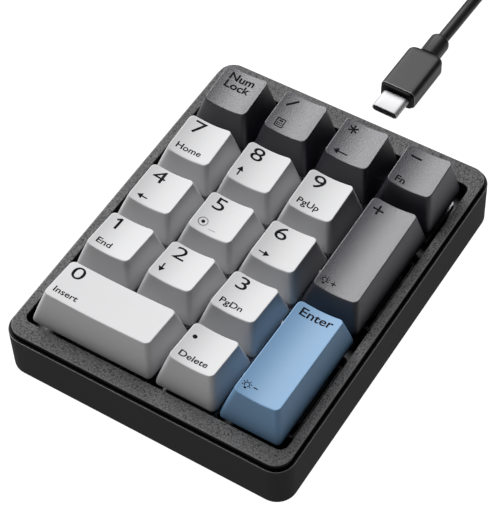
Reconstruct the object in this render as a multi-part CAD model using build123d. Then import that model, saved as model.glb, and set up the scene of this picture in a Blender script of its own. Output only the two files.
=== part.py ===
"""A seventeen-key numeric keypad with push-in switches, and its unplugged USB-C cable.

Units are millimetres. +X is right, +Y is towards the back, +Z is up, and the origin is the
middle of the case on the surface that the feet stand on.
"""

from build123d import *
import math
import os

# ---- Driving dimensions --------------------------------------------------------------------------

PITCH = 19.05  # from one key to the next
COLUMNS, ROWS = 4, 5
RIM_SIDE, RIM_FRONT, RIM_BACK = 3.75, 5.35, 7.85  # top cover past the block of keys
LIP_OUT = 1.0  # the lower case stands this far outside the top cover
COVER_CORNER, CASE_CORNER = 4.6, 5.6

FOOT_HEIGHT = 1.0
FLOOR = 1.4
SOCKET_GAP, SOCKET_HEIGHT = 0.1, 1.8
BOARD_THICK = 1.6
BOARD_TO_PLATE = 5.0  # board top to plate top, fixed by the switch
PLATE_THICK = 1.5
PLATE_TO_SKIRT = 6.0  # plate top to the lower edge of a keycap at rest
COVER_ABOVE_SKIRT = 0.3
COVER_THICK = 2.2
LIP_DROP = 1.2  # lip of the lower case below the cover's top

FLOOR_BOTTOM = FOOT_HEIGHT
FLOOR_TOP = FLOOR_BOTTOM + FLOOR
BOARD_BOTTOM = FLOOR_TOP + SOCKET_GAP + SOCKET_HEIGHT
BOARD_TOP = BOARD_BOTTOM + BOARD_THICK
PLATE_TOP = BOARD_TOP + BOARD_TO_PLATE
PLATE_BOTTOM = PLATE_TOP - PLATE_THICK
SKIRT_Z = PLATE_TOP + PLATE_TO_SKIRT
COVER_TOP = SKIRT_Z + COVER_ABOVE_SKIRT
COVER_SEAT = COVER_TOP - COVER_THICK
LIP_TOP = COVER_TOP - LIP_DROP

COVER_W = COLUMNS * PITCH + 2 * RIM_SIDE
COVER_L = ROWS * PITCH + RIM_FRONT + RIM_BACK
CASE_W, CASE_L = COVER_W + 2 * LIP_OUT, COVER_L + 2 * LIP_OUT
WALL = 1.8
LIP_WALL = 0.7
BLOCK_Y = (RIM_FRONT - RIM_BACK) / 2  # middle of the block of keys
OPENING_W, OPENING_L, OPENING_CORNER = 78.6, 97.7, 2.2
CHAMFER = 0.4

# Keycaps: the skirt is the lower edge, the crown is the dished top.
SKIRT, SKIRT_CORNER = 18.1, 1.3
CROWN_HALF_W, CROWN_CORNER = 6.53, 1.6
CROWN_BACK, CROWN_FRONT = 7.85, -5.3  # y of the crown's edges from the key's middle
DISH = 0.9
CAP_WALL, CAP_ROOF = 1.25, 1.35
CAP_HEIGHT = 8.0  # typical height, which sets how fast the sides lean in
SIDE_LEAN = (SKIRT / 2 - CROWN_HALF_W) / CAP_HEIGHT
BACK_LEAN = (SKIRT / 2 - CROWN_BACK) / CAP_HEIGHT
FRONT_LEAN = (SKIRT / 2 + CROWN_FRONT) / CAP_HEIGHT
POST_R, POST_LIFT = 2.75, 0.65
SOCKET_TOP = 4.35

# Heights above the skirt of the crown's back and front edges, one pair for each sculpted row.
CROWN_HEIGHTS = {
    "row_1": (11.3, 9.9),
    "row_2": (9.25, 8.2),
    "row_3": (8.1, 8.0),
    "row_4": (7.9, 9.1),
    "row_5": (8.0, 9.3),
    "rows_2_3": (9.3, 8.15),
    "rows_4_5": (8.1, 8.9),
}

# Switches: heights are from the plate's top, sizes follow the usual cross-stem switch.
TRAVEL = 4.0
FLANGE, FLANGE_THICK = 15.6, 1.0
CUTOUT = 14.0
HOUSING_LOW = 13.9
HOUSING_TOP = 6.6
TOP_FOOT, TOP_ROOF = 14.8, 10.4
WINDOW_X, WINDOW_Y = 7.9, 6.3
CROSS_TOP, CROSS_SPAN, CROSS_THIN, CROSS_THICK = 10.2, 4.05, 1.15, 1.3
SLIDER_X, SLIDER_Y = 7.1, 5.5
SLIDER_FOOT_X, SLIDER_FOOT_Y = 8.9, 6.6
GUIDE_R, GUIDE_HOLE_R = 0.95, 1.05
SPRING_OUT, SPRING_IN = 2.2, 1.85
CENTRE_POST_R, CENTRE_POST_LOW = 1.95, -8.0
PINS = ((-3.81, 2.54), (2.54, 5.08))  # from the switch's middle
LIGHT_Y = -4.9

# Stabilisers for the keys two units long.
STAB_REACH = 11.938
WIRE_R, WIRE_OUT, WIRE_Z, WIRE_ARM = 0.7, 8.6, 0.95, 7.6
WIRE_SWING = math.degrees(math.asin(TRAVEL / 2 / WIRE_ARM))
INSERT_X, INSERT_Y = 5.5, 5.4
INSERT_LOW, INSERT_HIGH = 0.6, 6.6
STAB_X, STAB_Y = 7.0, 11.0
STAB_LOW, STAB_HIGH = -3.9, 5.2
STAB_BORE_X, STAB_BORE_Y = 6.0, 6.2

SCREW_PLACES = [
    (sx * PITCH, 1.5 * PITCH) for sx in (-1, 1)
] + [
    (sx * PITCH, -0.5 * PITCH) for sx in (-1, 1)
] + [(0, -1.5 * PITCH)]
BOSS_R, SCREW_R, SCREW_HEAD_R, SCREW_HEAD = 1.7, 0.9, 1.6, 0.9

# USB-C receptacle on the board, with its mouth in the back wall.
PORT_W, PORT_H, PORT_DEEP, PORT_WALL = 8.94, 3.2, 7.4, 0.3
PORT_SET_BACK = 0.5
PORT_HOLE_W, PORT_HOLE_H = 9.7, 3.9

# The cable: the plug lies behind the keypad, its cord is wound into a coil behind it.
CORD_D = 3.6
PLUG_TIP = (0.4, 70.3)
PLUG_TURN = -1.2  # degrees about Z
PLUG_Z = 3.2
SHELL_W, SHELL_H, SHELL_LONG = 8.34, 2.5, 6.65
SHELL_WALL = 0.3
GRIP_W, GRIP_H, GRIP_LONG, GRIP_CORNER = 11.2, 6.4, 18.1, 1.4
RELIEF_W, RELIEF_H, RELIEF_LONG, RELIEF_CORNER = 6.6, 5.9, 8.2, 1.3
COIL_MIDDLE = (-16.0, 157.0)
COIL_PITCH = 3.7
COIL_OUTER, COIL_COLUMNS = 26.0, 3
A_PLUG_MIDDLE = (26.0, 163.0)
A_GRIP = (15.6, 28.0, 8.0)
A_RELIEF_R, A_RELIEF_LONG, A_SEAT_LONG = 2.9, 7.0, 5.0
A_SHELL = (12.0, 18.7, 4.5)

# Route of the cord from the plug to the coil, and from the coil to the other plug.
LEAD_ROUTE = [
    (1.1, 103.2, 3.2),
    (1.2, 111.0, 2.7),
    (1.15, 121.5, 1.8),
    (1.7, 133.5, 1.8),
    (8.2, 146.0, 1.8),
    (10.2, 157.5, 1.8),
]
TAIL_ROUTE = [
    (-18.0, 132.9, 12.9),
    (-8.8, 132.6, 12.3),
    (0.0, 132.3, 9.5),
    (8.4, 132.7, 6.2),
    (16.5, 136.0, 4.2),
    (22.6, 142.2, 3.5),
    (25.9, 150.4, 3.7),
    (26.0, 158.6, 4.0),
]

# Keys: name, column and row of the middle (in units from the block's middle), width and
# length in units, and the sculpted row.
KEYS = [
    ("num_lock", -1.5, 2, 1, 1, "row_1"),
    ("divide", -0.5, 2, 1, 1, "row_1"),
    ("multiply", 0.5, 2, 1, 1, "row_1"),
    ("minus", 1.5, 2, 1, 1, "row_1"),
    ("7", -1.5, 1, 1, 1, "row_2"),
    ("8", -0.5, 1, 1, 1, "row_2"),
    ("9", 0.5, 1, 1, 1, "row_2"),
    ("plus", 1.5, 0.5, 1, 2, "rows_2_3"),
    ("4", -1.5, 0, 1, 1, "row_3"),
    ("5", -0.5, 0, 1, 1, "row_3"),
    ("6", 0.5, 0, 1, 1, "row_3"),
    ("1", -1.5, -1, 1, 1, "row_4"),
    ("2", -0.5, -1, 1, 1, "row_4"),
    ("3", 0.5, -1, 1, 1, "row_4"),
    ("enter", 1.5, -1.5, 1, 2, "rows_4_5"),
    ("0", -1, -2, 2, 1, "row_5"),
    ("point", 0.5, -2, 1, 1, "row_5"),
]


# ---- Helpers -------------------------------------------------------------------------------------


def block(x, y, z):
    """A box from three (low, high) pairs."""
    size = [pair[1] - pair[0] for pair in (x, y, z)]
    middle = [(pair[0] + pair[1]) / 2 for pair in (x, y, z)]
    return Pos(*middle) * Box(*size)


def rod(radius, low, high, x=0.0, y=0.0):
    """An upright cylinder between two heights."""
    return Pos(x, y, (low + high) / 2) * Cylinder(radius, high - low)


def slab(width, length, corner, low, high, y=0.0):
    """A rounded rectangle in plan, between two heights."""
    return Pos(0, y, low) * extrude(RectangleRounded(width, length, corner), high - low)


def group(solids):
    """Separate solids kept together as one node."""
    found = []
    for shape in solids:
        found += list(shape.solids())
    return Compound(children=found)


def key_place(key):
    """Where a key's middle is in plan."""
    return key[1] * PITCH, key[2] * PITCH + BLOCK_Y


def at_keys(make):
    """One copy of a switch part under every key."""
    piece = make()
    return group([Pos(*key_place(key), PLATE_TOP) * piece for key in KEYS])


def cross(low, high, gap=0.0):
    """The plus-shaped stem, or the space for it when gap is positive."""
    span = CROSS_SPAN + 2 * gap
    along = Box(span, CROSS_THIN + 2 * gap, high - low)
    across = Box(CROSS_THICK + 2 * gap, span, high - low)
    return Pos(0, 0, (low + high) / 2) * (along + across)


def stab_turn(key):
    """Stabilisers lie along the key's long side: along X, or turned a quarter along Y."""
    return 90 if key[4] == 2 else 0


def long_keys():
    return [key for key in KEYS if key[3] == 2 or key[4] == 2]


# ---- Keycaps -------------------------------------------------------------------------------------


def crown_plane(key, drop=0.0):
    """The tilted plane of the crown's edges, and its length, lowered by drop."""
    back_z, front_z = CROWN_HEIGHTS[key[5]]
    grown = (key[4] - 1) * PITCH / 2
    back = CROWN_BACK + grown + BACK_LEAN * drop
    front = CROWN_FRONT - grown - FRONT_LEAN * drop
    rise, run = back_z - front_z, back - front
    long = math.hypot(rise, run)
    normal = Vector(0, -rise / long, run / long)
    middle = Vector(0, (back + front) / 2, (back_z + front_z) / 2) - normal * drop
    return Plane(origin=middle, x_dir=(1, 0, 0), z_dir=normal), long


def cap_body(key, inset, drop, corner_cut):
    """The loft from the skirt to the crown, shrunk by inset on every side."""
    skirt_x = SKIRT + (key[3] - 1) * PITCH - 2 * inset
    skirt_y = SKIRT + (key[4] - 1) * PITCH - 2 * inset
    plane, long = crown_plane(key, drop)
    crown_x = 2 * (CROWN_HALF_W + SIDE_LEAN * drop - inset) + (key[3] - 1) * PITCH
    low = RectangleRounded(skirt_x, skirt_y, SKIRT_CORNER - corner_cut)
    high = plane * RectangleRounded(crown_x, long - 2 * inset, CROWN_CORNER - corner_cut)
    return loft([low, high])


def keycap(key):
    """A keycap standing on z = 0: dished shell with a post for each stem."""
    plane, long = crown_plane(key)
    half = CROWN_HALF_W + (key[3] - 1) * PITCH / 2
    radius = (half**2 + DISH**2) / (2 * DISH)
    dish = plane * Pos(0, 0, radius - DISH) * Rot(90, 0, 0) * Cylinder(radius, 3 * long)
    shell = cap_body(key, 0, 0, 0) - dish
    hollow = cap_body(key, CAP_WALL, DISH + CAP_ROOF, 0.7)
    places = [Pos(0, 0, 0)]
    if key in long_keys():
        places += [Rot(0, 0, stab_turn(key)) * Pos(side * STAB_REACH, 0, 0) for side in (-1, 1)]
    for place in places:
        hollow = hollow - place * rod(POST_R, POST_LIFT, 12)
    cap = shell - hollow
    for place in places:
        cap = cap - place * cross(POST_LIFT - 0.5, SOCKET_TOP, 0.04)
    return cap


# ---- Switch parts, with z = 0 on the plate's top ---------------------------------------------------


def slider():
    """The moving stem: cross, hollow slider and the guide pin under it."""
    body = block((-SLIDER_X / 2, SLIDER_X / 2), (-SLIDER_Y / 2, SLIDER_Y / 2), (1.2, HOUSING_TOP))
    half_x, half_y = SLIDER_FOOT_X / 2, SLIDER_FOOT_Y / 2
    foot = block((-half_x, half_x), (-half_y, half_y), (1.2, 4.6))
    solid = body + foot + cross(HOUSING_TOP - 0.1, CROSS_TOP)
    solid = solid - rod(SPRING_OUT + 0.25, 1.0, 5.2)
    return solid + rod(GUIDE_R, -3.4, 5.3)


def lower_housing():
    """The lower housing: a cup that clips into the plate, with the spring's seat."""
    cup = block((-HOUSING_LOW / 2, HOUSING_LOW / 2), (-HOUSING_LOW / 2, HOUSING_LOW / 2), (-5.0, 0))
    rim = extrude(RectangleRounded(FLANGE, FLANGE, 0.8), FLANGE_THICK)
    cup = cup + rim - block((-5.8, 5.8), (-5.8, 5.8), (-3.8, 2.0))
    cup = cup + rod(CENTRE_POST_R, CENTRE_POST_LOW, -4.0) + rod(SPRING_IN - 0.15, -4.0, -2.4)
    cup = cup - rod(GUIDE_HOLE_R, -7.6, 0)
    for (x, y), leaf in zip(PINS, (4.5, 5.08)):
        cup = cup - block((x - 1.1, x + 1.1), (min(y, leaf) - 0.4, max(y, leaf) + 0.35), (-5.1, -3.7))
    return cup - block((-1.8, 1.8), (LIGHT_Y - 0.8, LIGHT_Y + 1.3), (-5.1, -3.7))


def upper_housing():
    """The clear upper housing: a tapered cover with a window for the stem."""
    foot = Pos(0, 0, FLANGE_THICK + 0.02) * RectangleRounded(TOP_FOOT, TOP_FOOT, 1.0)
    roof = Pos(0, 0, HOUSING_TOP) * RectangleRounded(TOP_ROOF, TOP_ROOF - 0.6, 1.0)
    inner_foot = Pos(0, 0, FLANGE_THICK) * RectangleRounded(TOP_FOOT - 2.4, TOP_FOOT - 2.4, 0.6)
    inner_roof = Pos(0, 0, HOUSING_TOP - 1.0) * RectangleRounded(TOP_ROOF - 1.4, TOP_ROOF - 2.0, 0.6)
    cover = loft([foot, roof]) - loft([inner_foot, inner_roof])
    window = block((-WINDOW_X / 2, WINDOW_X / 2), (-WINDOW_Y / 2, WINDOW_Y / 2), (4.8, 8.0))
    return cover - window


def spring():
    """The coil spring's outer size as a thin sleeve."""
    return rod(SPRING_OUT, -3.78, 5.18) - rod(SPRING_IN, -4.0, 6.0)


def contacts():
    """The two leaves and their pins."""
    (x1, y1), (x2, y2) = PINS
    moving = block((x1 - 0.5, x1 + 0.5), (y1 - 0.15, y1 + 0.15), (-8.3, -4.15))
    moving = moving + block((x1 - 0.5, x1 + 0.5), (y1 - 0.15, 4.625), (-4.4, -4.15))
    moving = moving + block((x1 - 0.7, x1 + 1.9), (4.375, 4.625), (-3.7, 0.6))
    moving = moving + block((x1 - 0.5, x1 + 0.5), (4.375, 4.625), (-4.4, -3.6))
    fixed = block((x2 - 0.5, x2 + 0.5), (y2 - 0.125, y2 + 0.125), (-8.3, -3.6))
    fixed = fixed + block((x2 - 2.6, x2 + 0.8), (y2 - 0.125, y2 + 0.125), (-3.7, 0.2))
    return Compound(children=[moving.solid(), fixed.solid()])


def socket():
    """The socket that a switch's pins push into, on the underside of the board."""
    low = -BOARD_TO_PLATE - BOARD_THICK - SOCKET_HEIGHT
    high = -BOARD_TO_PLATE - BOARD_THICK
    body = block((-6.3, -2.0), (0.5, 4.6), (low, high)) + block((-3.4, 4.6), (3.0, 7.0), (low, high))
    for x, y in PINS:
        body = body + rod(1.4, high - 0.2, high + BOARD_THICK - 0.2, x, y)
    for x, y in PINS:
        body = body - rod(0.75, low + 0.05, high + BOARD_THICK, x, y)
    return body


def light():
    """A small light in a cut-out of the board, under the front of the switch."""
    top = -BOARD_TO_PLATE - 0.2
    return block((-1.6, 1.6), (LIGHT_Y - 1.4, LIGHT_Y + 1.4), (top - 1.6, top))


def diode():
    """A small signal diode on the underside of the board."""
    top = -BOARD_TO_PLATE - BOARD_THICK
    return block((5.4, 6.7), (-6.6, -3.8), (top - 1.1, top))


# ---- Stabilisers, with z = 0 on the plate's top ----------------------------------------------------


def stab_insert():
    """The sliding stem of a stabiliser, with a slot for the wire's arm."""
    body = block((-INSERT_X / 2, INSERT_X / 2), (-INSERT_Y / 2, INSERT_Y / 2), (INSERT_LOW, INSERT_HIGH))
    slot = block((-1.0, 1.0), (-INSERT_Y, 1.6), (WIRE_Z + 0.25, WIRE_Z + 3.5))
    return body + cross(INSERT_HIGH - 0.1, CROSS_TOP) - slot


def stab_housing():
    """The fixed guide of a stabiliser, clipped into the plate."""
    body = block((-STAB_X / 2, STAB_X / 2), (-STAB_Y / 2, STAB_Y / 2), (STAB_LOW, STAB_HIGH))
    bore = block((-STAB_BORE_X / 2, STAB_BORE_X / 2), (-STAB_BORE_Y / 2, STAB_BORE_Y / 2), (-3.6, 8.0))
    mouth = block((-1.1, 1.1), (-STAB_Y, 0), (-2.6, STAB_HIGH + 1))
    saddle = block((-STAB_X / 2, STAB_X / 2), (-WIRE_OUT - 1.5, -STAB_Y / 2), (0.02, WIRE_Z + 0.3))
    saddle = saddle - block((-1.1, 1.1), (-WIRE_OUT - 2, 0), (-1, 3))
    groove = Pos(0, -WIRE_OUT, WIRE_Z) * Rot(0, 90, 0) * Cylinder(WIRE_R + 0.12, 20)
    open_top = block((-20, 20), (-WIRE_OUT - WIRE_R - 0.12, -WIRE_OUT + WIRE_R + 0.12), (WIRE_Z, 3))
    return body + saddle - bore - mouth - groove - open_top


def stab_wire():
    """The bent wire that ties both ends of a long key, with its arms raised at rest."""
    bar = Pos(0, -WIRE_OUT, WIRE_Z) * Rot(0, 90, 0) * Cylinder(WIRE_R, 2 * STAB_REACH)
    wire = bar
    arm = WIRE_ARM + 0.9
    for side in (-1, 1):
        hinge = Pos(side * STAB_REACH, -WIRE_OUT, WIRE_Z) * Rot(WIRE_SWING, 0, 0)
        wire = wire + hinge * Sphere(WIRE_R)
        wire = wire + hinge * Pos(0, arm / 2, 0) * Rot(90, 0, 0) * Cylinder(WIRE_R, arm)
    return wire


def stab_cutout():
    """The plate's opening for one stabiliser and its wire's arm."""
    half_x, half_y = STAB_X / 2 + 0.05, STAB_Y / 2 + 0.05
    arm_slot = block((-1.3, 1.3), (-WIRE_OUT + 0.6, 0), (-3, 3))
    return block((-half_x, half_x), (-half_y, half_y), (-3, 3)) + arm_slot


def at_stabilisers(make, key):
    """One copy of a stabiliser part at each end of a long key."""
    here = Pos(*key_place(key), PLATE_TOP) * Rot(0, 0, stab_turn(key))
    piece = make()
    return [here * Pos(side * STAB_REACH, 0, 0) * piece for side in (-1, 1)]


# ---- Case, plate and board -------------------------------------------------------------------------


def bottom_case():
    """The tray: floor, walls with a lip, screw bosses and the port's opening."""
    tray = slab(CASE_W, CASE_L, CASE_CORNER, FLOOR_BOTTOM, LIP_TOP)
    tray = chamfer(tray.faces().sort_by(Axis.Z)[0].edges(), 0.8)
    inner_corner = CASE_CORNER - WALL
    tray = tray - slab(CASE_W - 2 * WALL, CASE_L - 2 * WALL, inner_corner, FLOOR_TOP, LIP_TOP + 1)
    seat_w, seat_l = CASE_W - 2 * LIP_WALL, CASE_L - 2 * LIP_WALL
    tray = tray - slab(seat_w, seat_l, CASE_CORNER - LIP_WALL, COVER_SEAT, LIP_TOP + 1)
    for x, y in SCREW_PLACES:
        tray = tray + rod(BOSS_R, FLOOR_TOP - 0.2, PLATE_BOTTOM, x, y + BLOCK_Y)
        tray = tray - rod(SCREW_R + 0.05, FLOOR_TOP + 0.6, PLATE_BOTTOM + 1, x, y + BLOCK_Y)
    port_z = BOARD_TOP + PORT_H / 2
    hole = Pos(0, CASE_L / 2, port_z) * Rot(90, 0, 0) * extrude(
        RectangleRounded(PORT_HOLE_W, PORT_HOLE_H, PORT_HOLE_H / 2 - 0.01), 3 * WALL, both=True
    )
    return tray - hole


def top_cover():
    """The cover: a frame round the keys with a skirt inside the tray."""
    frame = slab(COVER_W, COVER_L, COVER_CORNER, COVER_SEAT, COVER_TOP)
    frame = chamfer(frame.faces().sort_by(Axis.Z)[-1].edges(), CHAMFER)
    skirt_w, skirt_l = CASE_W - 2 * WALL - 0.4, CASE_L - 2 * WALL - 0.4
    frame = frame + slab(skirt_w, skirt_l, CASE_CORNER - WALL - 0.2, PLATE_TOP + 0.3, COVER_SEAT + 0.1)
    opening = slab(OPENING_W, OPENING_L, OPENING_CORNER, PLATE_TOP, COVER_TOP + 1, BLOCK_Y)
    return frame - opening


def switch_plate():
    """The steel plate that holds the switches and stabilisers."""
    plate = slab(CASE_W - 2 * WALL - 1.0, CASE_L - 2 * WALL - 1.0, 3.0, PLATE_BOTTOM, PLATE_TOP)
    for key in KEYS:
        x, y = key_place(key)
        plate = plate - Pos(x, y, PLATE_TOP) * Box(CUTOUT, CUTOUT, 2 * PLATE_THICK + 1)
    for key in long_keys():
        for hole in at_stabilisers(stab_cutout, key):
            plate = plate - hole
    for x, y in SCREW_PLACES:
        plate = plate - rod(SCREW_R + 0.2, PLATE_BOTTOM - 1, PLATE_TOP + 1, x, y + BLOCK_Y)
    return plate


def circuit_board():
    """The board, drilled for the switches' posts, sockets, lights and the case's bosses."""
    board = slab(CASE_W - 2 * WALL - 1.4, CASE_L - 2 * WALL - 1.4, 2.8, BOARD_BOTTOM, BOARD_TOP)
    holes = []
    for key in KEYS:
        x, y = key_place(key)
        holes.append(rod(CENTRE_POST_R + 0.05, BOARD_BOTTOM - 1, BOARD_TOP + 1, x, y))
        holes += [rod(1.5, BOARD_BOTTOM - 1, BOARD_TOP + 1, x + px, y + py) for px, py in PINS]
        holes.append(Pos(x, y + LIGHT_Y, BOARD_TOP) * Box(3.4, 3.0, 3 * BOARD_THICK))
    holes += [rod(BOSS_R + 0.15, BOARD_BOTTOM - 1, BOARD_TOP + 1, x, y + BLOCK_Y) for x, y in SCREW_PLACES]
    return board - holes


def board_chips():
    """The controller and the diodes, all on the underside of the board."""
    chip = block((-34.5, -28.5), (45.5, 51.5), (BOARD_BOTTOM - 1.4, BOARD_BOTTOM))
    regulator = block((10.0, 13.0), (46.0, 47.6), (BOARD_BOTTOM - 1.1, BOARD_BOTTOM))
    diodes = [Pos(*key_place(key), PLATE_TOP) * diode() for key in KEYS]
    return group([chip, regulator] + diodes)


def plate_screws():
    """Screws through the plate into the tray's bosses."""
    screws = []
    for x, y in SCREW_PLACES:
        screw = rod(SCREW_R, FLOOR_TOP + 1.2, PLATE_TOP, x, y + BLOCK_Y)
        screw = screw + rod(SCREW_HEAD_R, PLATE_TOP, PLATE_TOP + SCREW_HEAD, x, y + BLOCK_Y)
        recess = Pos(x, y + BLOCK_Y, PLATE_TOP + SCREW_HEAD) * (Box(1.8, 0.4, 0.9) + Box(0.4, 1.8, 0.9))
        screws.append(screw - recess)
    return group(screws)


def rubber_feet():
    """Four round pads let into the tray's underside by a hair."""
    x, y = CASE_W / 2 - 9.5, CASE_L / 2 - 9.5
    return group([rod(4.5, 0, FLOOR_BOTTOM, sx * x, sy * y) for sx in (-1, 1) for sy in (-1, 1)])


# ---- USB-C receptacle and cable --------------------------------------------------------------------


def stadium(width, height, low, high):
    """A bar along +Y with a rounded section, between two values of y."""
    section = RectangleRounded(width, height, height / 2 - 0.01)
    return Pos(0, low, 0) * Rot(-90, 0, 0) * extrude(section, high - low)


def port_shell():
    """The receptacle's steel shell, closed at its inner end."""
    mouth = CASE_L / 2 - PORT_SET_BACK
    shell = stadium(PORT_W, PORT_H, mouth - PORT_DEEP, mouth)
    inside = stadium(PORT_W - 2 * PORT_WALL, PORT_H - 2 * PORT_WALL, mouth - PORT_DEEP + 1.0, mouth + 1)
    return Pos(0, 0, BOARD_TOP + PORT_H / 2) * (shell - inside)


def port_tongue():
    """The receptacle's plastic tongue."""
    mouth = CASE_L / 2 - PORT_SET_BACK
    tongue = block((-3.35, 3.35), (mouth - PORT_DEEP + 1.0, mouth - 0.8), (-0.35, 0.35))
    return Pos(0, 0, BOARD_TOP + PORT_H / 2) * tongue


def on_plug(shape):
    """A piece drawn along +Y from the plug's tip, put where the plug lies."""
    return Pos(*PLUG_TIP, PLUG_Z) * Rot(0, 0, PLUG_TURN) * shape


def plug_shell():
    """The metal nose of the USB-C plug, hollow, seated in the grip."""
    space = stadium(SHELL_W - 2 * SHELL_WALL, SHELL_H - 2 * SHELL_WALL, -1, SHELL_LONG - SHELL_WALL)
    return on_plug(stadium(SHELL_W, SHELL_H, 0, SHELL_LONG) - space)


def plug_grip():
    """The moulded grip, stepping down to a plain strain relief with parallel sides."""
    back = SHELL_LONG + GRIP_LONG
    section = RectangleRounded(GRIP_W, GRIP_H, GRIP_CORNER)
    grip = Pos(0, SHELL_LONG, 0) * Rot(-90, 0, 0) * extrude(section, GRIP_LONG)
    sleeve = RectangleRounded(RELIEF_W, RELIEF_H, RELIEF_CORNER)
    relief = Pos(0, back - 0.1, 0) * Rot(-90, 0, 0) * extrude(sleeve, RELIEF_LONG + 0.1)
    return on_plug(grip + relief)


def tube(route, name):
    """A cord along straight runs joined by arcs as large as the runs allow."""
    points = [Vector(*p) for p in route]
    radii = []
    for before, here, after in zip(points, points[1:], points[2:]):
        turn = (here - before).get_angle(after - here)
        shorter = min((here - before).length, (after - here).length)
        radii.append(0.45 * shorter / math.tan(math.radians(turn) / 2))
    path = FilletPolyline(*points, radius=radii)
    start = Plane(origin=path @ 0, z_dir=path % 0)
    cord = sweep(start * Circle(CORD_D / 2), path=path)
    section = math.pi * CORD_D**2 / 4
    print(name, "radii", [round(r, 1) for r in radii], "length", round(path.length, 1))
    print(name, "volume over section times length", round(cord.volume / (section * path.length), 4))
    return cord


def cord_coil():
    """The outer shape of the coiled cord: two wide layers with two narrower ones on top."""
    inner, outer = COIL_OUTER - COIL_PITCH * (COIL_COLUMNS - 1) - CORD_D / 2, COIL_OUTER + CORD_D / 2
    shelf, top = 2 * COIL_PITCH - 0.1, 4 * COIL_PITCH - 0.1
    step = COIL_PITCH / 2
    outline = Polyline(
        (inner, 0), (outer, 0), (outer, shelf), (outer - step, shelf),
        (outer - step, top), (inner + step, top), (inner + step, shelf), (inner, shelf),
        close=True,
    )
    ring = revolve(Plane.XZ * make_face(outline), Axis.Z)
    return Pos(*COIL_MIDDLE, 0) * ring


def a_plug_grip():
    """The moulded grip of the plug at the cable's other end."""
    width, long, high = A_GRIP
    lying = Pos(*A_PLUG_MIDDLE, high / 2) * Rot(-90, 0, 0)
    grip = lying * extrude(RectangleRounded(width, high, 1.6), long)
    relief = lying * Pos(0, 0, -A_RELIEF_LONG) * extrude(Circle(A_RELIEF_R), A_RELIEF_LONG + 0.1)
    seat = lying * Pos(0, 0, -A_RELIEF_LONG - 1) * extrude(Circle(CORD_D / 2 + 0.05), A_SEAT_LONG + 1)
    return grip + relief - seat


def a_plug_shell():
    """The flat metal nose of the plug at the cable's other end."""
    width, long, high = A_SHELL
    x, y, z = A_PLUG_MIDDLE[0], A_PLUG_MIDDLE[1] + A_GRIP[1], A_GRIP[2] / 2
    nose = block((x - width / 2, x + width / 2), (y, y + long), (z - high / 2, z + high / 2))
    half = width / 2 - SHELL_WALL
    space = block((x - half, x + half), (y + 1, y + long + 1), (z, z + high / 2 - SHELL_WALL))
    return nose - space


# ---- All nodes -------------------------------------------------------------------------------------


def nodes():
    """Every node's name and shape."""
    found = {}
    caps = {}
    for key in KEYS:
        shape = (key[3], key[4], key[5])
        if shape not in caps:
            caps[shape] = keycap(key)
        x, y = key_place(key)
        found["keycap_" + key[0]] = Pos(x, y, SKIRT_Z) * caps[shape]
        moving = [Pos(x, y, PLATE_TOP) * slider()]
        if key in long_keys():
            moving += at_stabilisers(stab_insert, key)
            wire = Pos(x, y, PLATE_TOP) * Rot(0, 0, stab_turn(key)) * stab_wire()
            found["stabiliser_wire_" + key[0]] = wire
        found["stem_" + key[0]] = group(moving)
    found["top_cover"] = top_cover()
    found["bottom_case"] = bottom_case()
    found["switch_plate"] = switch_plate()
    found["circuit_board"] = circuit_board()
    found["upper_housings"] = at_keys(upper_housing)
    found["lower_housings"] = at_keys(lower_housing)
    found["switch_springs"] = at_keys(spring)
    found["switch_contacts"] = at_keys(contacts)
    found["switch_sockets"] = at_keys(socket)
    found["key_lights"] = at_keys(light)
    found["board_chips"] = board_chips()
    guides = []
    for key in long_keys():
        guides += at_stabilisers(stab_housing, key)
    found["stabiliser_guides"] = group(guides)
    found["plate_screws"] = plate_screws()
    found["rubber_feet"] = rubber_feet()
    found["port_shell"] = port_shell()
    found["port_tongue"] = port_tongue()
    found["plug_shell"] = plug_shell()
    found["plug_grip"] = plug_grip()
    found["cord_lead"] = tube(LEAD_ROUTE, "cord_lead")
    found["cord_coil"] = cord_coil()
    found["cord_tail"] = tube(TAIL_ROUTE, "cord_tail")
    found["far_plug_grip"] = a_plug_grip()
    found["far_plug_shell"] = a_plug_shell()
    return found


def main():
    os.makedirs("parts", exist_ok=True)
    for name, shape in nodes().items():
        export_step(shape, os.path.join("parts", name + ".step"))
    print("wire swing from level, degrees:", round(WIRE_SWING, 3))


if __name__ == "__main__":
    main()
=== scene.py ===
"""Looks of a seventeen-key numeric keypad and its unplugged USB-C cable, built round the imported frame.

Sizes in the classes are in millimetres and become metres when a mesh is made. +X is right, +Y is towards
the back and +Z is up. z = 0 is the surface that the feet stand on, and the origin is the case's middle.
"""

import logging
import math
from dataclasses import dataclass
from enum import Enum

import bmesh
import bpy
import numpy as np
from mathutils import Matrix


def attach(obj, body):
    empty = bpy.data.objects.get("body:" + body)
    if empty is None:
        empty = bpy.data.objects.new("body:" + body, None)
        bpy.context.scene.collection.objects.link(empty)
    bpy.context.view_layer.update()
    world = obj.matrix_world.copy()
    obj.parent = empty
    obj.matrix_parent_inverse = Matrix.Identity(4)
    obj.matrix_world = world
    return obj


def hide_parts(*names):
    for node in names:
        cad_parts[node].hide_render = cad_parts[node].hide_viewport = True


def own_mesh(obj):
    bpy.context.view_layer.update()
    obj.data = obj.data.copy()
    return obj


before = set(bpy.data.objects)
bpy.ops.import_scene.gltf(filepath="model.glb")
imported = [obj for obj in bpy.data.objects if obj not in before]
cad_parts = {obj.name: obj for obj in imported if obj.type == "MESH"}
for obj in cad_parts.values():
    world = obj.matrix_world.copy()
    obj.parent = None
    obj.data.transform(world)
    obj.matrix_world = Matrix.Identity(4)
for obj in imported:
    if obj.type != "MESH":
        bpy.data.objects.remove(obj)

LOG = logging.getLogger("keypad")
Array = np.ndarray
Colour = tuple[float, float, float]
Point = tuple[float, float, float]
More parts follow.
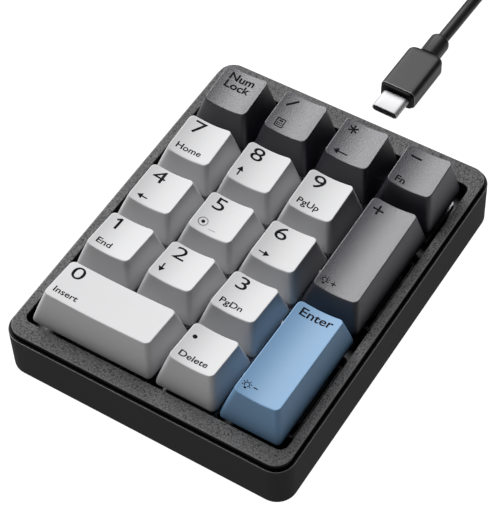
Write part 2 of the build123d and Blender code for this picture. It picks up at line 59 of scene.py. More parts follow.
Pair = tuple[float, float]

MM = 0.001
PITCH = 19.05  # from one key to the next
BLOCK_Y = -1.25  # middle of the block of keys
PLATE_TOP, SKIRT_Z, COVER_TOP = 10.9, 16.9, 17.2  # heights of the plate, the keycaps' rims and the cover
POST_REACH = 11.938  # from a long key's middle to each of its outer posts
SHARP = 32.0  # degrees between two faces over which their edge stays sharp
MERGE = 2e-7  # metres between points that count as one


# ---- Meshes from grids -----------------------------------------------------------------------------


def rounded_ring(half_x: float, half_y: float, corner: float, straight: int = 10, bend: int = 6) -> Array:
    """Points of a rounded rectangle, anticlockwise from the foot of its right side.

    Each corner is a quarter circle about a centre set in from both sides by its radius, and each side
    is the straight line between two corners, divided evenly.

    Args:
        half_x: Half the width.
        half_y: Half the length.
        corner: Radius of the corners.
        straight: Steps along each side.
        bend: Steps round each corner.

    Returns:
        An array of 4 * (straight + bend) plan points.
    """
    turn = (np.arange(4)[:, None] + np.linspace(0, 1, bend + 1)[None, :]) * math.pi / 2
    middle_x = np.array([1, -1, -1, 1])[:, None] * (half_x - corner)
    middle_y = np.array([1, 1, -1, -1])[:, None] * (half_y - corner)
    arcs = np.stack([middle_x + corner * np.cos(turn), middle_y + corner * np.sin(turn)], -1)
    before = np.roll(arcs[:, -1], 1, axis=0)[:, None]
    share = np.arange(1, straight)[None, :, None] / straight
    sides = before * (1 - share) + arcs[:, :1] * share
    return np.concatenate([sides, arcs], axis=1).reshape(-1, 2)


def at_height(plan: Array, height: float | Array) -> Array:
    """Plan points with a height given to each."""
    return np.column_stack([plan, np.broadcast_to(height, len(plan))])


def quarter(start: Pair, corner: Pair, end: Pair, steps: int) -> Array:
    """A quadratic curve from start to end that leans on corner, both ends included."""
    share = np.linspace(0, 1, steps + 1)[:, None]
    a, b, c = (np.array(p, float) for p in (start, corner, end))
    return (1 - share) ** 2 * a + 2 * share * (1 - share) * b + share**2 * c


def lathe(profile: Array, around: int = 32) -> Array:
    """Turns a profile of (radius, height) pairs about the upright axis.

    Args:
        profile: Pairs from the foot of the outside upwards.
        around: Points in each ring.

    Returns:
        Rings of points, one for each pair.
    """
    angle = np.linspace(0, 2 * math.pi, around, endpoint=False)[None, :]
    radius, height = profile[:, :1], profile[:, 1:]
    return np.stack([radius * np.cos(angle), radius * np.sin(angle), height + 0 * angle], -1)


def carried(profile: Array, half_x: float, half_y: float, corner: float) -> Array:
    """Carries a profile of (inset, height) pairs round a rounded rectangle.

    Each pair gives one ring: the rectangle drawn in by the inset on every side, with its corner radius
    reduced by as much, at that height.
    """
    straight, bend, least = 12, 10, 0.3
    rings = []
    for inset, height in profile:
        plan = rounded_ring(half_x - inset, half_y - inset, max(corner - inset, least), straight, bend)
        rings.append(at_height(plan, height))
    return np.stack(rings)


def upright(ring: Array, y: float, z: float = 0.0) -> Array:
    """A plan ring stood up across Y, and raised by z."""
    return np.column_stack([ring[:, 0], np.full(len(ring), y), ring[:, 1] + z])


def sections(rows: list[tuple[float, float, float, float]], straight: int = 8, bend: int = 8) -> Array:
    """Rings across Y from (y, half width, half height, corner) rows."""
    rings = []
    for y, half_x, half_z, corner in rows:
        round_to = min(corner, half_x * 0.999, half_z * 0.999)
        rings.append(upright(rounded_ring(half_x, half_z, round_to, straight, bend), y))
    return np.stack(rings)


def drawn_in(ring: Array) -> Array:
    """A row that closes an end: the ring with every point at its middle."""
    return np.broadcast_to(ring.mean(0), ring.shape)[None]


def closed(rings: Array) -> Array:
    """Rings with both ends drawn in to their middles."""
    return np.concatenate([drawn_in(rings[0]), rings, drawn_in(rings[-1])])


def tube_along(line: Array, radius: float, around: int) -> Array:
    """Rings of a round tube along a line of points, closed at both ends.

    At each point the ring lies across the line's direction. Its two axes are the direction crossed with
    the upright, and that crossed with the direction again.
    """
    along = np.gradient(line, axis=0)
    along /= np.linalg.norm(along, axis=1, keepdims=True)
    side = np.cross(along, np.array([0.0, 0.0, 1.0]))
    side /= np.maximum(np.linalg.norm(side, axis=1, keepdims=True), 1e-9)
    up = np.cross(side, along)
    angle = np.linspace(0, 2 * math.pi, around, endpoint=False)
    wheel = np.cos(angle)[None, :, None] * side[:, None] + np.sin(angle)[None, :, None] * up[:, None]
    first, last = np.repeat(line[:1], around, 0)[None], np.repeat(line[-1:], around, 0)[None]
    return np.concatenate([first, line[:, None] + radius * wheel, last])


class Shell:
    """Grids of points, in millimetres, gathered into one mesh."""

    def __init__(self) -> None:
        """Starts with no points."""
        self.points: list[Array] = []
        self.faces: list[Array] = []
        self.marks: list[Array] = []
        self.count = 0

    def add(self, points: Array, faces: Array, mark: int = 0) -> "Shell":
        """Adds points and the faces between them, all given one material number."""
        self.points.append(points.reshape(-1, 3))
        self.faces.append(faces + self.count)
        self.marks.append(np.full(len(faces), mark))
        self.count += len(self.points[-1])
        return self

    def grid(self, rings: Array, mark: int = 0, around: bool = True, flip: bool = False) -> "Shell":
        """Adds a grid of points, row after row, with a quadrilateral between each four.

        Args:
            rings: Points as (rows, points in a row, 3).
            mark: Material number of its faces.
            around: The last point of a row joins its first.
            flip: The faces turn to the other side.

        Returns:
            This shell, for the next call.
        """
        rows, wide = rings.shape[:2]
        i = np.arange(rows - 1)[:, None]
        j = np.arange(wide if around else wide - 1)[None, :]
        below, beside = i + 1, (j + 1) % wide
        corners = (i * wide + j, i * wide + beside, below * wide + beside, below * wide + j)
        faces = np.stack(np.broadcast_arrays(*corners), -1).reshape(-1, 4)
        return self.add(rings, faces[:, ::-1] if flip else faces, mark)

    def mesh(self, name: str, sharp: float = SHARP) -> bpy.types.Mesh:
        """Makes the mesh: doubled points are merged, and edges over the angle stay sharp.

        Args:
            name: Name of the mesh.
            sharp: Angle in degrees.

        Returns:
            The mesh, in metres.
        """
        mesh = bpy.data.meshes.new(name)
        faces = [face for part in self.faces for face in part.tolist()]
        mesh.from_pydata((np.concatenate(self.points) * MM).tolist(), [], faces)
        mesh.polygons.foreach_set("material_index", np.concatenate(self.marks).astype(np.int32))
        work = bmesh.new()
        work.from_mesh(mesh)
        bmesh.ops.remove_doubles(work, verts=work.verts, dist=MERGE)
        work.to_mesh(mesh)
        work.free()
        smooth(mesh, sharp)
        return mesh


def smooth(mesh: bpy.types.Mesh, sharp: float) -> None:
    """Shades a mesh smooth, with edges over the angle, in degrees, left sharp."""
    mesh.polygons.foreach_set("use_smooth", np.ones(len(mesh.polygons), bool))
    mesh.set_sharp_from_angle(angle=math.radians(sharp))
    mesh.update()


def placed(rings: Array, place: Point, turn: float = 0.0) -> Array:
    """Points turned about the upright axis, in degrees, then moved to a place."""
    c, s = math.cos(math.radians(turn)), math.sin(math.radians(turn))
    return rings @ np.array([[c, s, 0.0], [-s, c, 0.0], [0.0, 0.0, 1.0]]) + np.array(place)


def linked(name: str, data: bpy.types.ID) -> bpy.types.Object:
    """A new object of the scene that holds the data."""
    made = bpy.data.objects.new(name, data)
    bpy.context.scene.collection.objects.link(made)
    return made


def piece(
    name: str,
    mesh: bpy.types.Mesh,
    body: str,
    materials: list[bpy.types.Material],
    replaces: tuple[str, ...] = (),
) -> bpy.types.Object:
    """Makes a mesh a piece that rides on a body and stands for CAD nodes.

    Args:
        name: Name of the piece.
        mesh: Its mesh, in place.
        body: The body that it rides on.
        materials: Its materials, in the order of the faces' numbers.
        replaces: CAD nodes that it stands for.

    Returns:
        The object.
    """
    made = linked(name, mesh)
    for material in materials:
        mesh.materials.append(material)
    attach(made, body)
    if replaces:
        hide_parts(*replaces)
    LOG.info("%s: %d faces, rides on %s", name, len(mesh.polygons), body)
    return made


def cut(target: bpy.types.Object, cutter: bpy.types.Mesh) -> None:
    """Cuts a closed mesh out of a piece and keeps the result as the piece's mesh."""
    tool = linked("cutter", cutter)
    step = target.modifiers.new("cut", "BOOLEAN")
    step.operation, step.solver, step.object = "DIFFERENCE", "EXACT", tool
    held = target.evaluated_get(bpy.context.evaluated_depsgraph_get())
    result = bpy.data.meshes.new_from_object(held)
    target.modifiers.clear()
    result.name = target.data.name
    target.data = result
    bpy.data.objects.remove(tool)
    smooth(result, SHARP)


# ---- Finishes --------------------------------------------------------------------------------------


class Pattern(Enum):
    """How a finish wanders over a surface."""

    GRAIN = "moulded_grain"
    SPARK = "spark_texture"
    BRUSHED = "brushed_metal"
    TRACES = "board_traces"


def new_group(name: str) -> tuple[bpy.types.NodeTree, bpy.types.Node, bpy.types.Node]:
    """A shader node group with the sockets that every surface pattern here has.

    Returns:
        The group, its input node and its output node.
    """
    group = bpy.data.node_groups.new(name, "ShaderNodeTree")
    sockets = {
        "Vector": "NodeSocketVector",
        "Colour": "NodeSocketColor",
        "Scale": "NodeSocketFloat",
        "Contrast": "NodeSocketFloat",
        "Roughness": "NodeSocketFloat",
        "Spread": "NodeSocketFloat",
    }
    for label, kind in sockets.items():
        group.interface.new_socket(label, in_out="INPUT", socket_type=kind)
    outputs = {"Colour": "NodeSocketColor", "Roughness": "NodeSocketFloat", "Height": "NodeSocketFloat"}
    for label, kind in outputs.items():
        group.interface.new_socket(label, in_out="OUTPUT", socket_type=kind)
    return group, group.nodes.new("NodeGroupInput"), group.nodes.new("NodeGroupOutput")


def feed(tree: bpy.types.NodeTree, value: bpy.types.NodeSocket | float, socket: bpy.types.NodeSocket) -> None:
    """Gives a socket a number, or links it to another socket."""
    if isinstance(value, (int, float)):
        socket.default_value = value
    else:
        tree.links.new(value, socket)


def calc(
    tree: bpy.types.NodeTree, operation: str, *values: bpy.types.NodeSocket | float
) -> bpy.types.NodeSocket:
    """A maths node on sockets and numbers, and its result."""
    node = tree.nodes.new("ShaderNodeMath")
    node.operation = operation
    for socket, value in zip(node.inputs, values):
        feed(tree, value, socket)
    return node.outputs[0]


def noise(
    tree: bpy.types.NodeTree, vector: bpy.types.NodeSocket, scale: bpy.types.NodeSocket | float, detail: float
) -> bpy.types.NodeSocket:
    """A noise pattern, from 0 to 1."""
    node = tree.nodes.new("ShaderNodeTexNoise")
    node.inputs["Detail"].default_value = detail
    tree.links.new(vector, node.inputs["Vector"])
    feed(tree, scale, node.inputs["Scale"])
    return node.outputs["Fac"]


def finish_group(
    tree: bpy.types.NodeTree,
    source: bpy.types.Node,
    target: bpy.types.Node,
    fine: bpy.types.NodeSocket,
    broad: bpy.types.NodeSocket,
) -> None:
    """Ends a pattern group: colour times 1 + contrast * (2 * (fine - 0.5) + 0.5 * (broad - 0.5)), roughness
    plus spread * (fine - 0.5), and fine as the height.
    """
    swing = calc(tree, "MULTIPLY_ADD", fine, 2.0, -1.0)
    drift = calc(tree, "MULTIPLY_ADD", broad, 0.5, -0.25)
    amount = calc(tree, "MULTIPLY", calc(tree, "ADD", swing, drift), source.outputs["Contrast"])
    factor = calc(tree, "ADD", amount, 1.0)
    scaled = tree.nodes.new("ShaderNodeVectorMath")
    scaled.operation = "SCALE"
    tree.links.new(source.outputs["Colour"], scaled.inputs[0])
    tree.links.new(factor, scaled.inputs["Scale"])
    tree.links.new(scaled.outputs[0], target.inputs["Colour"])
    rough = calc(tree, "MULTIPLY", calc(tree, "MULTIPLY", swing, 0.5), source.outputs["Spread"])
    tree.links.new(calc(tree, "ADD", rough, source.outputs["Roughness"]), target.inputs["Roughness"])
    tree.links.new(fine, target.inputs["Height"])


def grain_group() -> bpy.types.NodeTree:
    """Moulded plastic: a fine noise, with a broad one under it."""
    tree, source, target = new_group(Pattern.GRAIN.value)
    fine = noise(tree, source.outputs["Vector"], source.outputs["Scale"], 3.0)
    broad = noise(tree, source.outputs["Vector"], 60.0, 1.0)
    finish_group(tree, source, target, fine, broad)
    return tree


def spark_group() -> bpy.types.NodeTree:
    """Spark-eroded mould texture: small uneven cells, rough between them."""
    tree, source, target = new_group(Pattern.SPARK.value)
    cells = tree.nodes.new("ShaderNodeTexVoronoi")
    tree.links.new(source.outputs["Vector"], cells.inputs["Vector"])
    tree.links.new(source.outputs["Scale"], cells.inputs["Scale"])
    dust = noise(tree, source.outputs["Vector"], calc(tree, "MULTIPLY", source.outputs["Scale"], 0.9), 2.0)
    near = calc(tree, "SUBTRACT", 1.0, cells.outputs["Distance"])
    fine = calc(tree, "MULTIPLY_ADD", near, 0.45, calc(tree, "MULTIPLY", dust, 0.55))
    broad = noise(tree, source.outputs["Vector"], 45.0, 1.0)
    finish_group(tree, source, target, fine, broad)
    return tree


def brushed_group() -> bpy.types.NodeTree:
    """Rolled metal: a noise drawn out along Y."""
    tree, source, target = new_group(Pattern.BRUSHED.value)
    drawn = tree.nodes.new("ShaderNodeMapping")
    drawn.inputs["Scale"].default_value = (1.0, 0.06, 1.0)
    tree.links.new(source.outputs["Vector"], drawn.inputs["Vector"])
    fine = noise(tree, drawn.outputs["Vector"], source.outputs["Scale"], 4.0)
    broad = noise(tree, source.outputs["Vector"], 80.0, 2.0)
    finish_group(tree, source, target, fine, broad)
    return tree


def traces_group() -> bpy.types.NodeTree:
    """A lacquered board: square copper runs showing a little lighter through the lacquer."""
    tree, source, target = new_group(Pattern.TRACES.value)
    runs = tree.nodes.new("ShaderNodeTexBrick")
    runs.inputs["Scale"].default_value = 120.0
    runs.inputs["Mortar Size"].default_value = 0.06
    runs.inputs["Mortar Smooth"].default_value = 0.1
    tree.links.new(source.outputs["Vector"], runs.inputs["Vector"])
    dust = noise(tree, source.outputs["Vector"], source.outputs["Scale"], 3.0)
    fine = calc(tree, "MULTIPLY_ADD", runs.outputs["Fac"], 0.6, calc(tree, "MULTIPLY", dust, 0.4))
    finish_group(tree, source, target, fine, dust)
    return tree


GROUPS = {
    Pattern.GRAIN: grain_group(),
    Pattern.SPARK: spark_group(),
    Pattern.BRUSHED: brushed_group(),
    Pattern.TRACES: traces_group(),
}


@dataclass(frozen=True)
class Finish:
    """A finish: its colour, how fine its grain is, and how it takes light."""

    name: str
    colour: Colour
    roughness: float = 0.5
    spread: float = 0.1
    contrast: float = 0.05
    grain: float = 0.35  # size of the grain, in millimetres
    bump: float = 0.15
    metallic: float = 0.0
    specular: float = 0.5
    transmission: float = 0.0
    glow: float = 0.0
    pattern: Pattern = Pattern.GRAIN

    def material(self) -> bpy.types.Material:
        """The material, made at the first call and shared after that."""
        found = bpy.data.materials.get(f"{self.name}_finish")
        return found if found else self.build()

    def build(self) -> bpy.types.Material:
        """Makes the material: Object coordinates into the pattern group, and that into the shader."""
        made = bpy.data.materials.new(f"{self.name}_finish")
        made.use_nodes = True
        tree = made.node_tree
        shader = tree.nodes["Principled BSDF"]
        place = tree.nodes.new("ShaderNodeTexCoord")
        group = tree.nodes.new("ShaderNodeGroup")
        group.node_tree = GROUPS[self.pattern]
        tree.links.new(place.outputs["Object"], group.inputs["Vector"])
        group.inputs["Colour"].default_value = (*self.colour, 1.0)
        pattern = {"Scale": 1.0 / (self.grain * MM), "Contrast": self.contrast,
                   "Roughness": self.roughness, "Spread": self.spread}
        for label, value in pattern.items():
            group.inputs[label].default_value = value
        tree.links.new(group.outputs["Colour"], shader.inputs["Base Color"])
        tree.links.new(group.outputs["Roughness"], shader.inputs["Roughness"])
        bump = tree.nodes.new("ShaderNodeBump")
        bump.inputs["Strength"].default_value = self.bump
        bump.inputs["Distance"].default_value = self.grain * MM * 0.3
        tree.links.new(group.outputs["Height"], bump.inputs["Height"])
        tree.links.new(bump.outputs["Normal"], shader.inputs["Normal"])
        light = {"Metallic": self.metallic, "Specular IOR Level": self.specular,
                 "Transmission Weight": self.transmission}
        for label, value in light.items():
            shader.inputs[label].default_value = value
        if self.glow:
            shader.inputs["Emission Color"].default_value = (*self.colour, 1.0)
            shader.inputs["Emission Strength"].default_value = self.glow
        return made


# Numbers after the colour are roughness, spread, contrast, grain, bump and metallic, as in the class.
CAP_WHITE = Finish("cap_white", (0.50, 0.50, 0.508), 0.46, 0.10, 0.03, 0.30, 0.10, specular=0.16)
CAP_DARK = Finish("cap_dark", (0.011, 0.0108, 0.019), 0.46, 0.24, 0.45, 0.31, 0.76, specular=0.70)
CAP_BLUE = Finish("cap_blue", (0.152, 0.275, 0.435), 0.44, 0.10, 0.04, 0.30, 0.10, specular=0.20)
LEGEND_BLACK = Finish("legend_black", (0.006, 0.006, 0.008), 0.80, 0.08, 0.10, 0.2, 0.05, specular=0.08)
COVER = Finish(
    "cover_texture", (0.084, 0.084, 0.086), 0.58, 0.50, 1.7, 0.40, 0.95, specular=0.08, pattern=Pattern.SPARK)
CASE_BLACK = Finish("case_black", (0.0125, 0.0125, 0.013), 0.70, 0.12, 0.12, 0.30, 0.10, specular=0.06)
# Painted highlight: a lighter grey laid on small rounded edges, the cover's outer edge, the tray's lip and
# the plug grip's front rim, for the light that they catch.
PAINTED_EDGE_HIGHLIGHT = Finish("painted_edge_highlight", (0.11, 0.11, 0.112), 0.40, 0.10, 0.12, 0.30, 0.10, specular=0.45)
# Painted shade: near black laid on the cover's side and skirt, the tray's lip top and ledge and the plug
# grip's recessed collar, for the shadow in those recesses.
PAINTED_GROOVE_SHADE = Finish("painted_groove_shade", (0.003, 0.003, 0.003), 0.60, 0.10, 0.10, 0.30, 0.05, specular=0.10)
STEM_BROWN = Finish("stem_brown", (0.20, 0.075, 0.028), 0.35, 0.08, 0.06, 0.25, 0.08)
CLEAR = Finish("clear_housing", (0.86, 0.84, 0.93), 0.16, 0.06, 0.02, 0.5, 0.03, transmission=0.55)
MILKY = Finish("milky_housing", (0.74, 0.75, 0.76), 0.34, 0.08, 0.03, 0.4, 0.06)
GUIDE = Finish("stabiliser_guide", (0.03, 0.03, 0.032), 0.42, 0.10, 0.10, 0.3, 0.08)
STEEL = Finish("rolled_steel", (0.62, 0.62, 0.63), 0.26, 0.12, 0.05, 0.25, 0.05, 1.0, pattern=Pattern.BRUSHED)
PLATE = Finish("plate_steel", (0.035, 0.035, 0.037), 0.45, 0.14, 0.20, 0.35, 0.10)
SPRING_STEEL = Finish("spring_steel", (0.66, 0.62, 0.52), 0.22, 0.08, 0.05, 0.15, 0.03, 1.0)
COPPER = Finish("copper_leaf", (0.83, 0.42, 0.22), 0.24, 0.10, 0.08, 0.2, 0.04, 1.0, pattern=Pattern.BRUSHED)
BOARD = Finish("board_lacquer", (0.008, 0.028, 0.014), 0.30, 0.10, 0.55, 0.5, 0.10, pattern=Pattern.TRACES)
BLACK_PLASTIC = Finish("black_plastic", (0.014, 0.014, 0.015), 0.38, 0.10, 0.10, 0.3, 0.06)
LIGHT_LENS = Finish("light_lens", (0.88, 0.86, 0.66), 0.22, 0.08, 0.05, 0.3, 0.03, glow=0.2)
FOOT_RUBBER = Finish("foot_rubber", (0.022, 0.022, 0.023), 0.82, 0.12, 0.20, 0.4, 0.25)
JACKET = Finish("cable_jacket", (0.007, 0.007, 0.008), 0.50, 0.10, 0.14, 0.25, 0.08, specular=0.25)
PLUG_STEEL = Finish(
    "plug_steel", (0.43, 0.43, 0.44), 0.68, 0.10, 0.12, 0.20, 0.03, 1.0, pattern=Pattern.BRUSHED)
GOLD = Finish("contact_gold", (0.90, 0.62, 0.24), 0.22, 0.08, 0.05, 0.2, 0.02, 1.0)
FLOOR_PAPER = Finish("floor_paper", (0.12, 0.12, 0.12), 0.8, 0.05, 0.004, 2.0, 0.0, specular=0.1, glow=8.6)


# ---- Keys ------------------------------------------------------------------------------------------


class Sculpt(Enum):
    """Heights above the skirt of the crown's back and front edges."""

    ROW_1 = (11.3, 9.9)
    ROW_2 = (9.25, 8.2)
    ROW_3 = (8.1, 8.0)
    ROW_4 = (7.9, 9.1)
    ROW_5 = (8.0, 9.3)
    ROWS_2_3 = (9.3, 8.15)
    ROWS_4_5 = (8.1, 8.9)


class CapColour(Enum):
    """The three colours of keycap, with the record's slot of each."""

    WHITE = ("keycap_white", CAP_WHITE)
    DARK = ("keycap_dark", CAP_DARK)
    BLUE = ("keycap_blue", CAP_BLUE)


class Sign(Enum):
    """What is drawn on a crown."""

    TEXT = "text"
    SLASH = "slash"
    STAR = "star"
    DASH = "dash"
    CROSS = "cross"
    DOT = "dot"
    ARROW = "arrow"
    BULB = "bulb"
    PANEL = "panel"
    RING = "ring"
    ONE = "one"


@dataclass(frozen=True)
class Mark:
    """A legend: its sign, its place on the crown from the key's middle, and its size.

    A text's place is the left end of its baseline, and its size is the height of a capital. Other
    signs have their middle at the place, and their size is their length.
    """

    sign: Sign
    x: float
    y: float
    size: float
    text: str = ""
    turn: float = 0.0
    stroke: float = 0.42
    widen: float = 1.18  # letters are this much wider than the plain face
    bold: float = 0.014  # added to a letter's outline on every side, for a letter one high


@dataclass(frozen=True)
class Key:
    """A key: its name, its place in units from the block's middle, its shape, colour and legends."""

    name: str
    column: float
    row: float
    sculpt: Sculpt
    colour: CapColour
    marks: tuple[Mark, ...]
    width: int = 1
    length: int = 1

    @property
    def middle(self) -> Pair:
        """The key's middle in plan."""
        return self.column * PITCH, self.row * PITCH + BLOCK_Y

    @property
    def posts(self) -> list[Pair]:
        """Middles of the cap's posts from the key's middle: one, or three on a long key."""
        if self.width == 2:
            return [(0.0, 0.0), (-POST_REACH, 0.0), (POST_REACH, 0.0)]
        if self.length == 2:
            return [(0.0, 0.0), (0.0, -POST_REACH), (0.0, POST_REACH)]
        return [(0.0, 0.0)]


def digit(text: str, x: float = -4.75) -> Mark:
    """A large number at the crown's upper left."""
    return Mark(Sign.TEXT, x, 3.0, 4.0, text, widen=1.38, bold=0.001)


def word(text: str, x: float = -5.05, y: float = -3.3, size: float = 1.8, bold: float = 0.014) -> Mark:
    """A word at the crown's left."""
    return Mark(Sign.TEXT, x, y, size, text, bold=bold)


def arrow(turn: float, x: float, y: float, size: float = 3.1) -> Mark:
    """An arrow at the crown's lower left, turned from pointing right."""
    return Mark(Sign.ARROW, x, y, size, turn=turn, stroke=0.38)


def bulb(y: float) -> Mark:
    """The key lights' sign at a long crown's lower left."""
    return Mark(Sign.BULB, -4.4, y, 2.4, stroke=0.24)


WHITE, DARK, BLUE = CapColour.WHITE, CapColour.DARK, CapColour.BLUE
KEYS = (
    Key("num_lock", -1.5, 2, Sculpt.ROW_1, DARK, (
        word("Num", -4.5, 4.2, 2.25, 0.026), word("Lock", -4.5, 1.35, 2.25, 0.026))),
    Key("divide", -0.5, 2, Sculpt.ROW_1, DARK, (
        Mark(Sign.SLASH, -3.2, 4.95, 2.8, stroke=0.62), Mark(Sign.PANEL, -3.0, -2.2, 2.3, stroke=0.30))),
    Key("multiply", 0.5, 2, Sculpt.ROW_1, DARK, (
        Mark(Sign.STAR, -3.25, 5.05, 2.9, stroke=0.47), arrow(180, -2.7, -2.95, 4.3))),
    Key("minus", 1.5, 2, Sculpt.ROW_1, DARK, (
        Mark(Sign.DASH, -2.95, 4.9, 3.3, stroke=0.60), word("Fn", -4.8, -4.05, 1.8, 0.022))),
    Key("7", -1.5, 1, Sculpt.ROW_2, WHITE, (digit("7"), word("Home"))),
    Key("8", -0.5, 1, Sculpt.ROW_2, WHITE, (digit("8"), arrow(90, -4.2, -1.85))),
    Key("9", 0.5, 1, Sculpt.ROW_2, WHITE, (digit("9"), word("PgUp"))),
    Key("plus", 1.5, 0.5, Sculpt.ROWS_2_3, DARK, (
        Mark(Sign.CROSS, -3.5, 14.1, 3.1, stroke=0.56), bulb(-12.0),
        Mark(Sign.CROSS, -1.9, -12.0, 1.4, stroke=0.3)), length=2),
    Key("4", -1.5, 0, Sculpt.ROW_3, WHITE, (digit("4"), arrow(180, -3.2, -3.0))),
    Key("5", -0.5, 0, Sculpt.ROW_3, WHITE, (
        digit("5"), Mark(Sign.RING, -3.6, -2.0, 2.6, stroke=0.16),
        Mark(Sign.DASH, -0.1, -3.4, 2.1, stroke=0.10))),
    Key("6", 0.5, 0, Sculpt.ROW_3, WHITE, (digit("6"), arrow(0, -3.4, -2.85))),
    Key("1", -1.5, -1, Sculpt.ROW_4, WHITE, (Mark(Sign.ONE, -3.55, 5.0, 4.0, stroke=0.72), word("End"))),
    Key("2", -0.5, -1, Sculpt.ROW_4, WHITE, (digit("2"), arrow(-90, -4.3, -1.5))),
    Key("3", 0.5, -1, Sculpt.ROW_4, WHITE, (digit("3"), word("PgDn"))),
    Key("enter", 1.5, -1.5, Sculpt.ROWS_4_5, BLUE, (
        word("Enter", -4.95, 13.5, 2.5), bulb(-11.6),
        Mark(Sign.DASH, -2.1, -11.4, 1.2, stroke=0.3)), length=2),
    Key("0", -1, -2, Sculpt.ROW_5, WHITE, (
        digit("0", -14.25), word("Insert", -14.75)), width=2),
    Key("point", 0.5, -2, Sculpt.ROW_5, WHITE, (Mark(Sign.DOT, -4.3, 3.7, 1.25), word("Delete"))),
)


@dataclass(frozen=True)
class CapShape:
    """Sizes of a one-unit keycap and the surfaces that they give."""

    skirt: float = 18.1
    skirt_corner: float = 1.5
    crown_half: float = 6.53
    crown_back: float = 7.85
    crown_front: float = -5.3
    crown_corner: float = 1.5
    dish: float = 0.9
    wide_dish: float = 0.6
    wall: float = 1.25
    roof: float = 2.25  # from the crown's edges to the roof inside
    belly: float = 1.10  # over 1, the sides lean in later and bulge
    edge: float = 0.28  # rounding of the crown's edge
    rim_inset: float = 0.18  # of the flat foot from the outer side
    bead_inset: float = 0.02  # of the foot's rounded edge
    bead_rise: float = 0.07
    first_share: float = 0.02  # share of the way at which a first row lies, just past the row before it
    side_steps: int = 14
    bend_steps: int = 7

    def grown(self, key: Key) -> Pair:
        """How far a long key reaches past a one-unit key on each side."""
        return (key.width - 1) * PITCH / 2, (key.length - 1) * PITCH / 2

    def plane(self, key: Key, y: Array) -> Array:
        """Height of the crown's edges: the straight slope from its back edge to its front edge."""
        grown = self.grown(key)[1]
        back, front = key.sculpt.value
        share = (y - self.crown_front + grown) / (self.crown_back - self.crown_front + 2 * grown)
        return front + (back - front) * share

    def crown(self, key: Key, x: Array, y: Array) -> Array:
        """Height of the crown: its slope, less a hollow that is deepest on the middle line and falls off
        with the square of the distance from it.
        """
        half = self.crown_half + self.grown(key)[0]
        dish = self.wide_dish if key.width == 2 else self.dish
        return self.plane(key, y) - dish * (1 - (x / half) ** 2)

    def ring(self, half_x: float, back: float, front: float, corner: float) -> Array:
        """A rounded rectangle between two values of y."""
        ring = rounded_ring(half_x, (back - front) / 2, corner, self.side_steps, self.bend_steps)
        return ring + np.array([0.0, (back + front) / 2])

    def outside(self, key: Key) -> Array:
        """Rows of the outer side: plan points go from the skirt's ring to the crown's as height to the
        power of belly, so that the lowest part is nearly upright.
        """
        more_x, more_y = self.grown(key)
        half = self.skirt / 2
        low = self.ring(half + more_x, half + more_y, -half - more_y, self.skirt_corner)
        high = self.crown_ring(key, 0.0)
        top = self.crown(key, high[:, 0], high[:, 1])
        share = np.linspace(self.first_share, 1.0, 12)[:, None, None]
        plan = low + (high - low) * share**self.belly
        return np.concatenate([plan, share * top[None, :, None]], axis=2)

    def crown_ring(self, key: Key, inset: float) -> Array:
        """The crown's outline, drawn in by inset."""
        more_x, more_y = self.grown(key)
        back, front = self.crown_back + more_y - inset, self.crown_front - more_y + inset
        return self.ring(self.crown_half + more_x - inset, back, front, self.crown_corner - inset)

    def top(self, key: Key, side: Array) -> Array:
        """Rows of the rounded edge and the crown.

        The edge is a quadratic curve from a point a little down the side to one a little in on the
        crown. The crown's rows are that inner ring drawn towards its middle, at the crown's height.
        """
        drop = side[-1] - side[-2]
        start = side[-1] - drop * (self.edge / np.linalg.norm(drop, axis=1, keepdims=True))
        inner = self.crown_ring(key, self.edge)
        end = at_height(inner, self.crown(key, inner[:, 0], inner[:, 1]))
        share = np.linspace(0, 1, 6)[:, None, None]
        bent = (1 - share) ** 2 * start + 2 * share * (1 - share) * side[-1] + share**2 * end
        middle = np.array([0.0, (self.crown_back + self.crown_front) / 2])
        crowding = 0.8  # under 1, the rows lie closer together near the middle
        steps = np.concatenate([[self.first_share], np.linspace(0, 1, 13)[1:] ** crowding])
        shrink = 1 - steps[:, None, None]
        plan = middle + (inner - middle) * shrink
        height = self.crown(key, plan[..., 0], plan[..., 1])
        return np.concatenate([bent, np.concatenate([plan, height[..., None]], axis=2)])

    def inside(self, key: Key) -> Array:
        """Rows of the hollow, from the middle of its roof down its walls and round the skirt's rim."""
        more_x, more_y = self.grown(key)
        half, lean = self.skirt / 2, self.roof / 8.0
        back = self.crown_back + (half - self.crown_back) * lean - self.wall + more_y
        front = self.crown_front - (half + self.crown_front) * lean + self.wall - more_y
        wide = self.crown_half + (half - self.crown_half) * lean - self.wall + more_x
        roof = self.ring(wide, back, front, 1.0)
        centre = np.zeros_like(roof) + np.array([0.0, (back + front) / 2])
        inner, rim, outer = (half - inset for inset in (self.wall, self.rim_inset, self.bead_inset))
        foot = self.ring(inner + more_x, inner + more_y, -inner - more_y, 0.6)
        low = self.ring(rim + more_x, rim + more_y, -rim - more_y, self.skirt_corner - self.rim_inset)
        bead = self.ring(outer + more_x, outer + more_y, -outer - more_y, self.skirt_corner)
        under = [self.plane(key, plan[:, 1]) - self.roof for plan in (centre, roof)]
        heights = (*under, 0.0, 0.0, self.bead_rise)
        return np.stack([at_height(p, z) for p, z in zip((centre, roof, foot, low, bead), heights)])

    def post(self, roof: float) -> Array:
        """Rows of a post with a cross-shaped socket, closed at both ends.

        The socket's radius at each angle is the further of two bars' edges: the nearer of the bar's end
        and its side along that angle.
        """
        around, radius, foot, depth = 48, 2.75, 0.65, 4.35
        angle = (np.arange(around) + 0.5) * 2 * math.pi / around
        c, s = np.abs(np.cos(angle)), np.abs(np.sin(angle))
        long, thin = 2.06, 0.64
        reach = np.maximum(np.minimum(long / c, thin / s), np.minimum(thin / c, long / s))
        steps = ((0.0, roof), (radius, roof), (radius, foot), (None, foot), (None, depth), (0.0, depth))
        rings = [
            np.column_stack([
                (reach if r is None else r) * np.cos(angle), (reach if r is None else r) * np.sin(angle),
                np.full(around, z)])
            for r, z in steps
        ]
        return np.stack(rings)


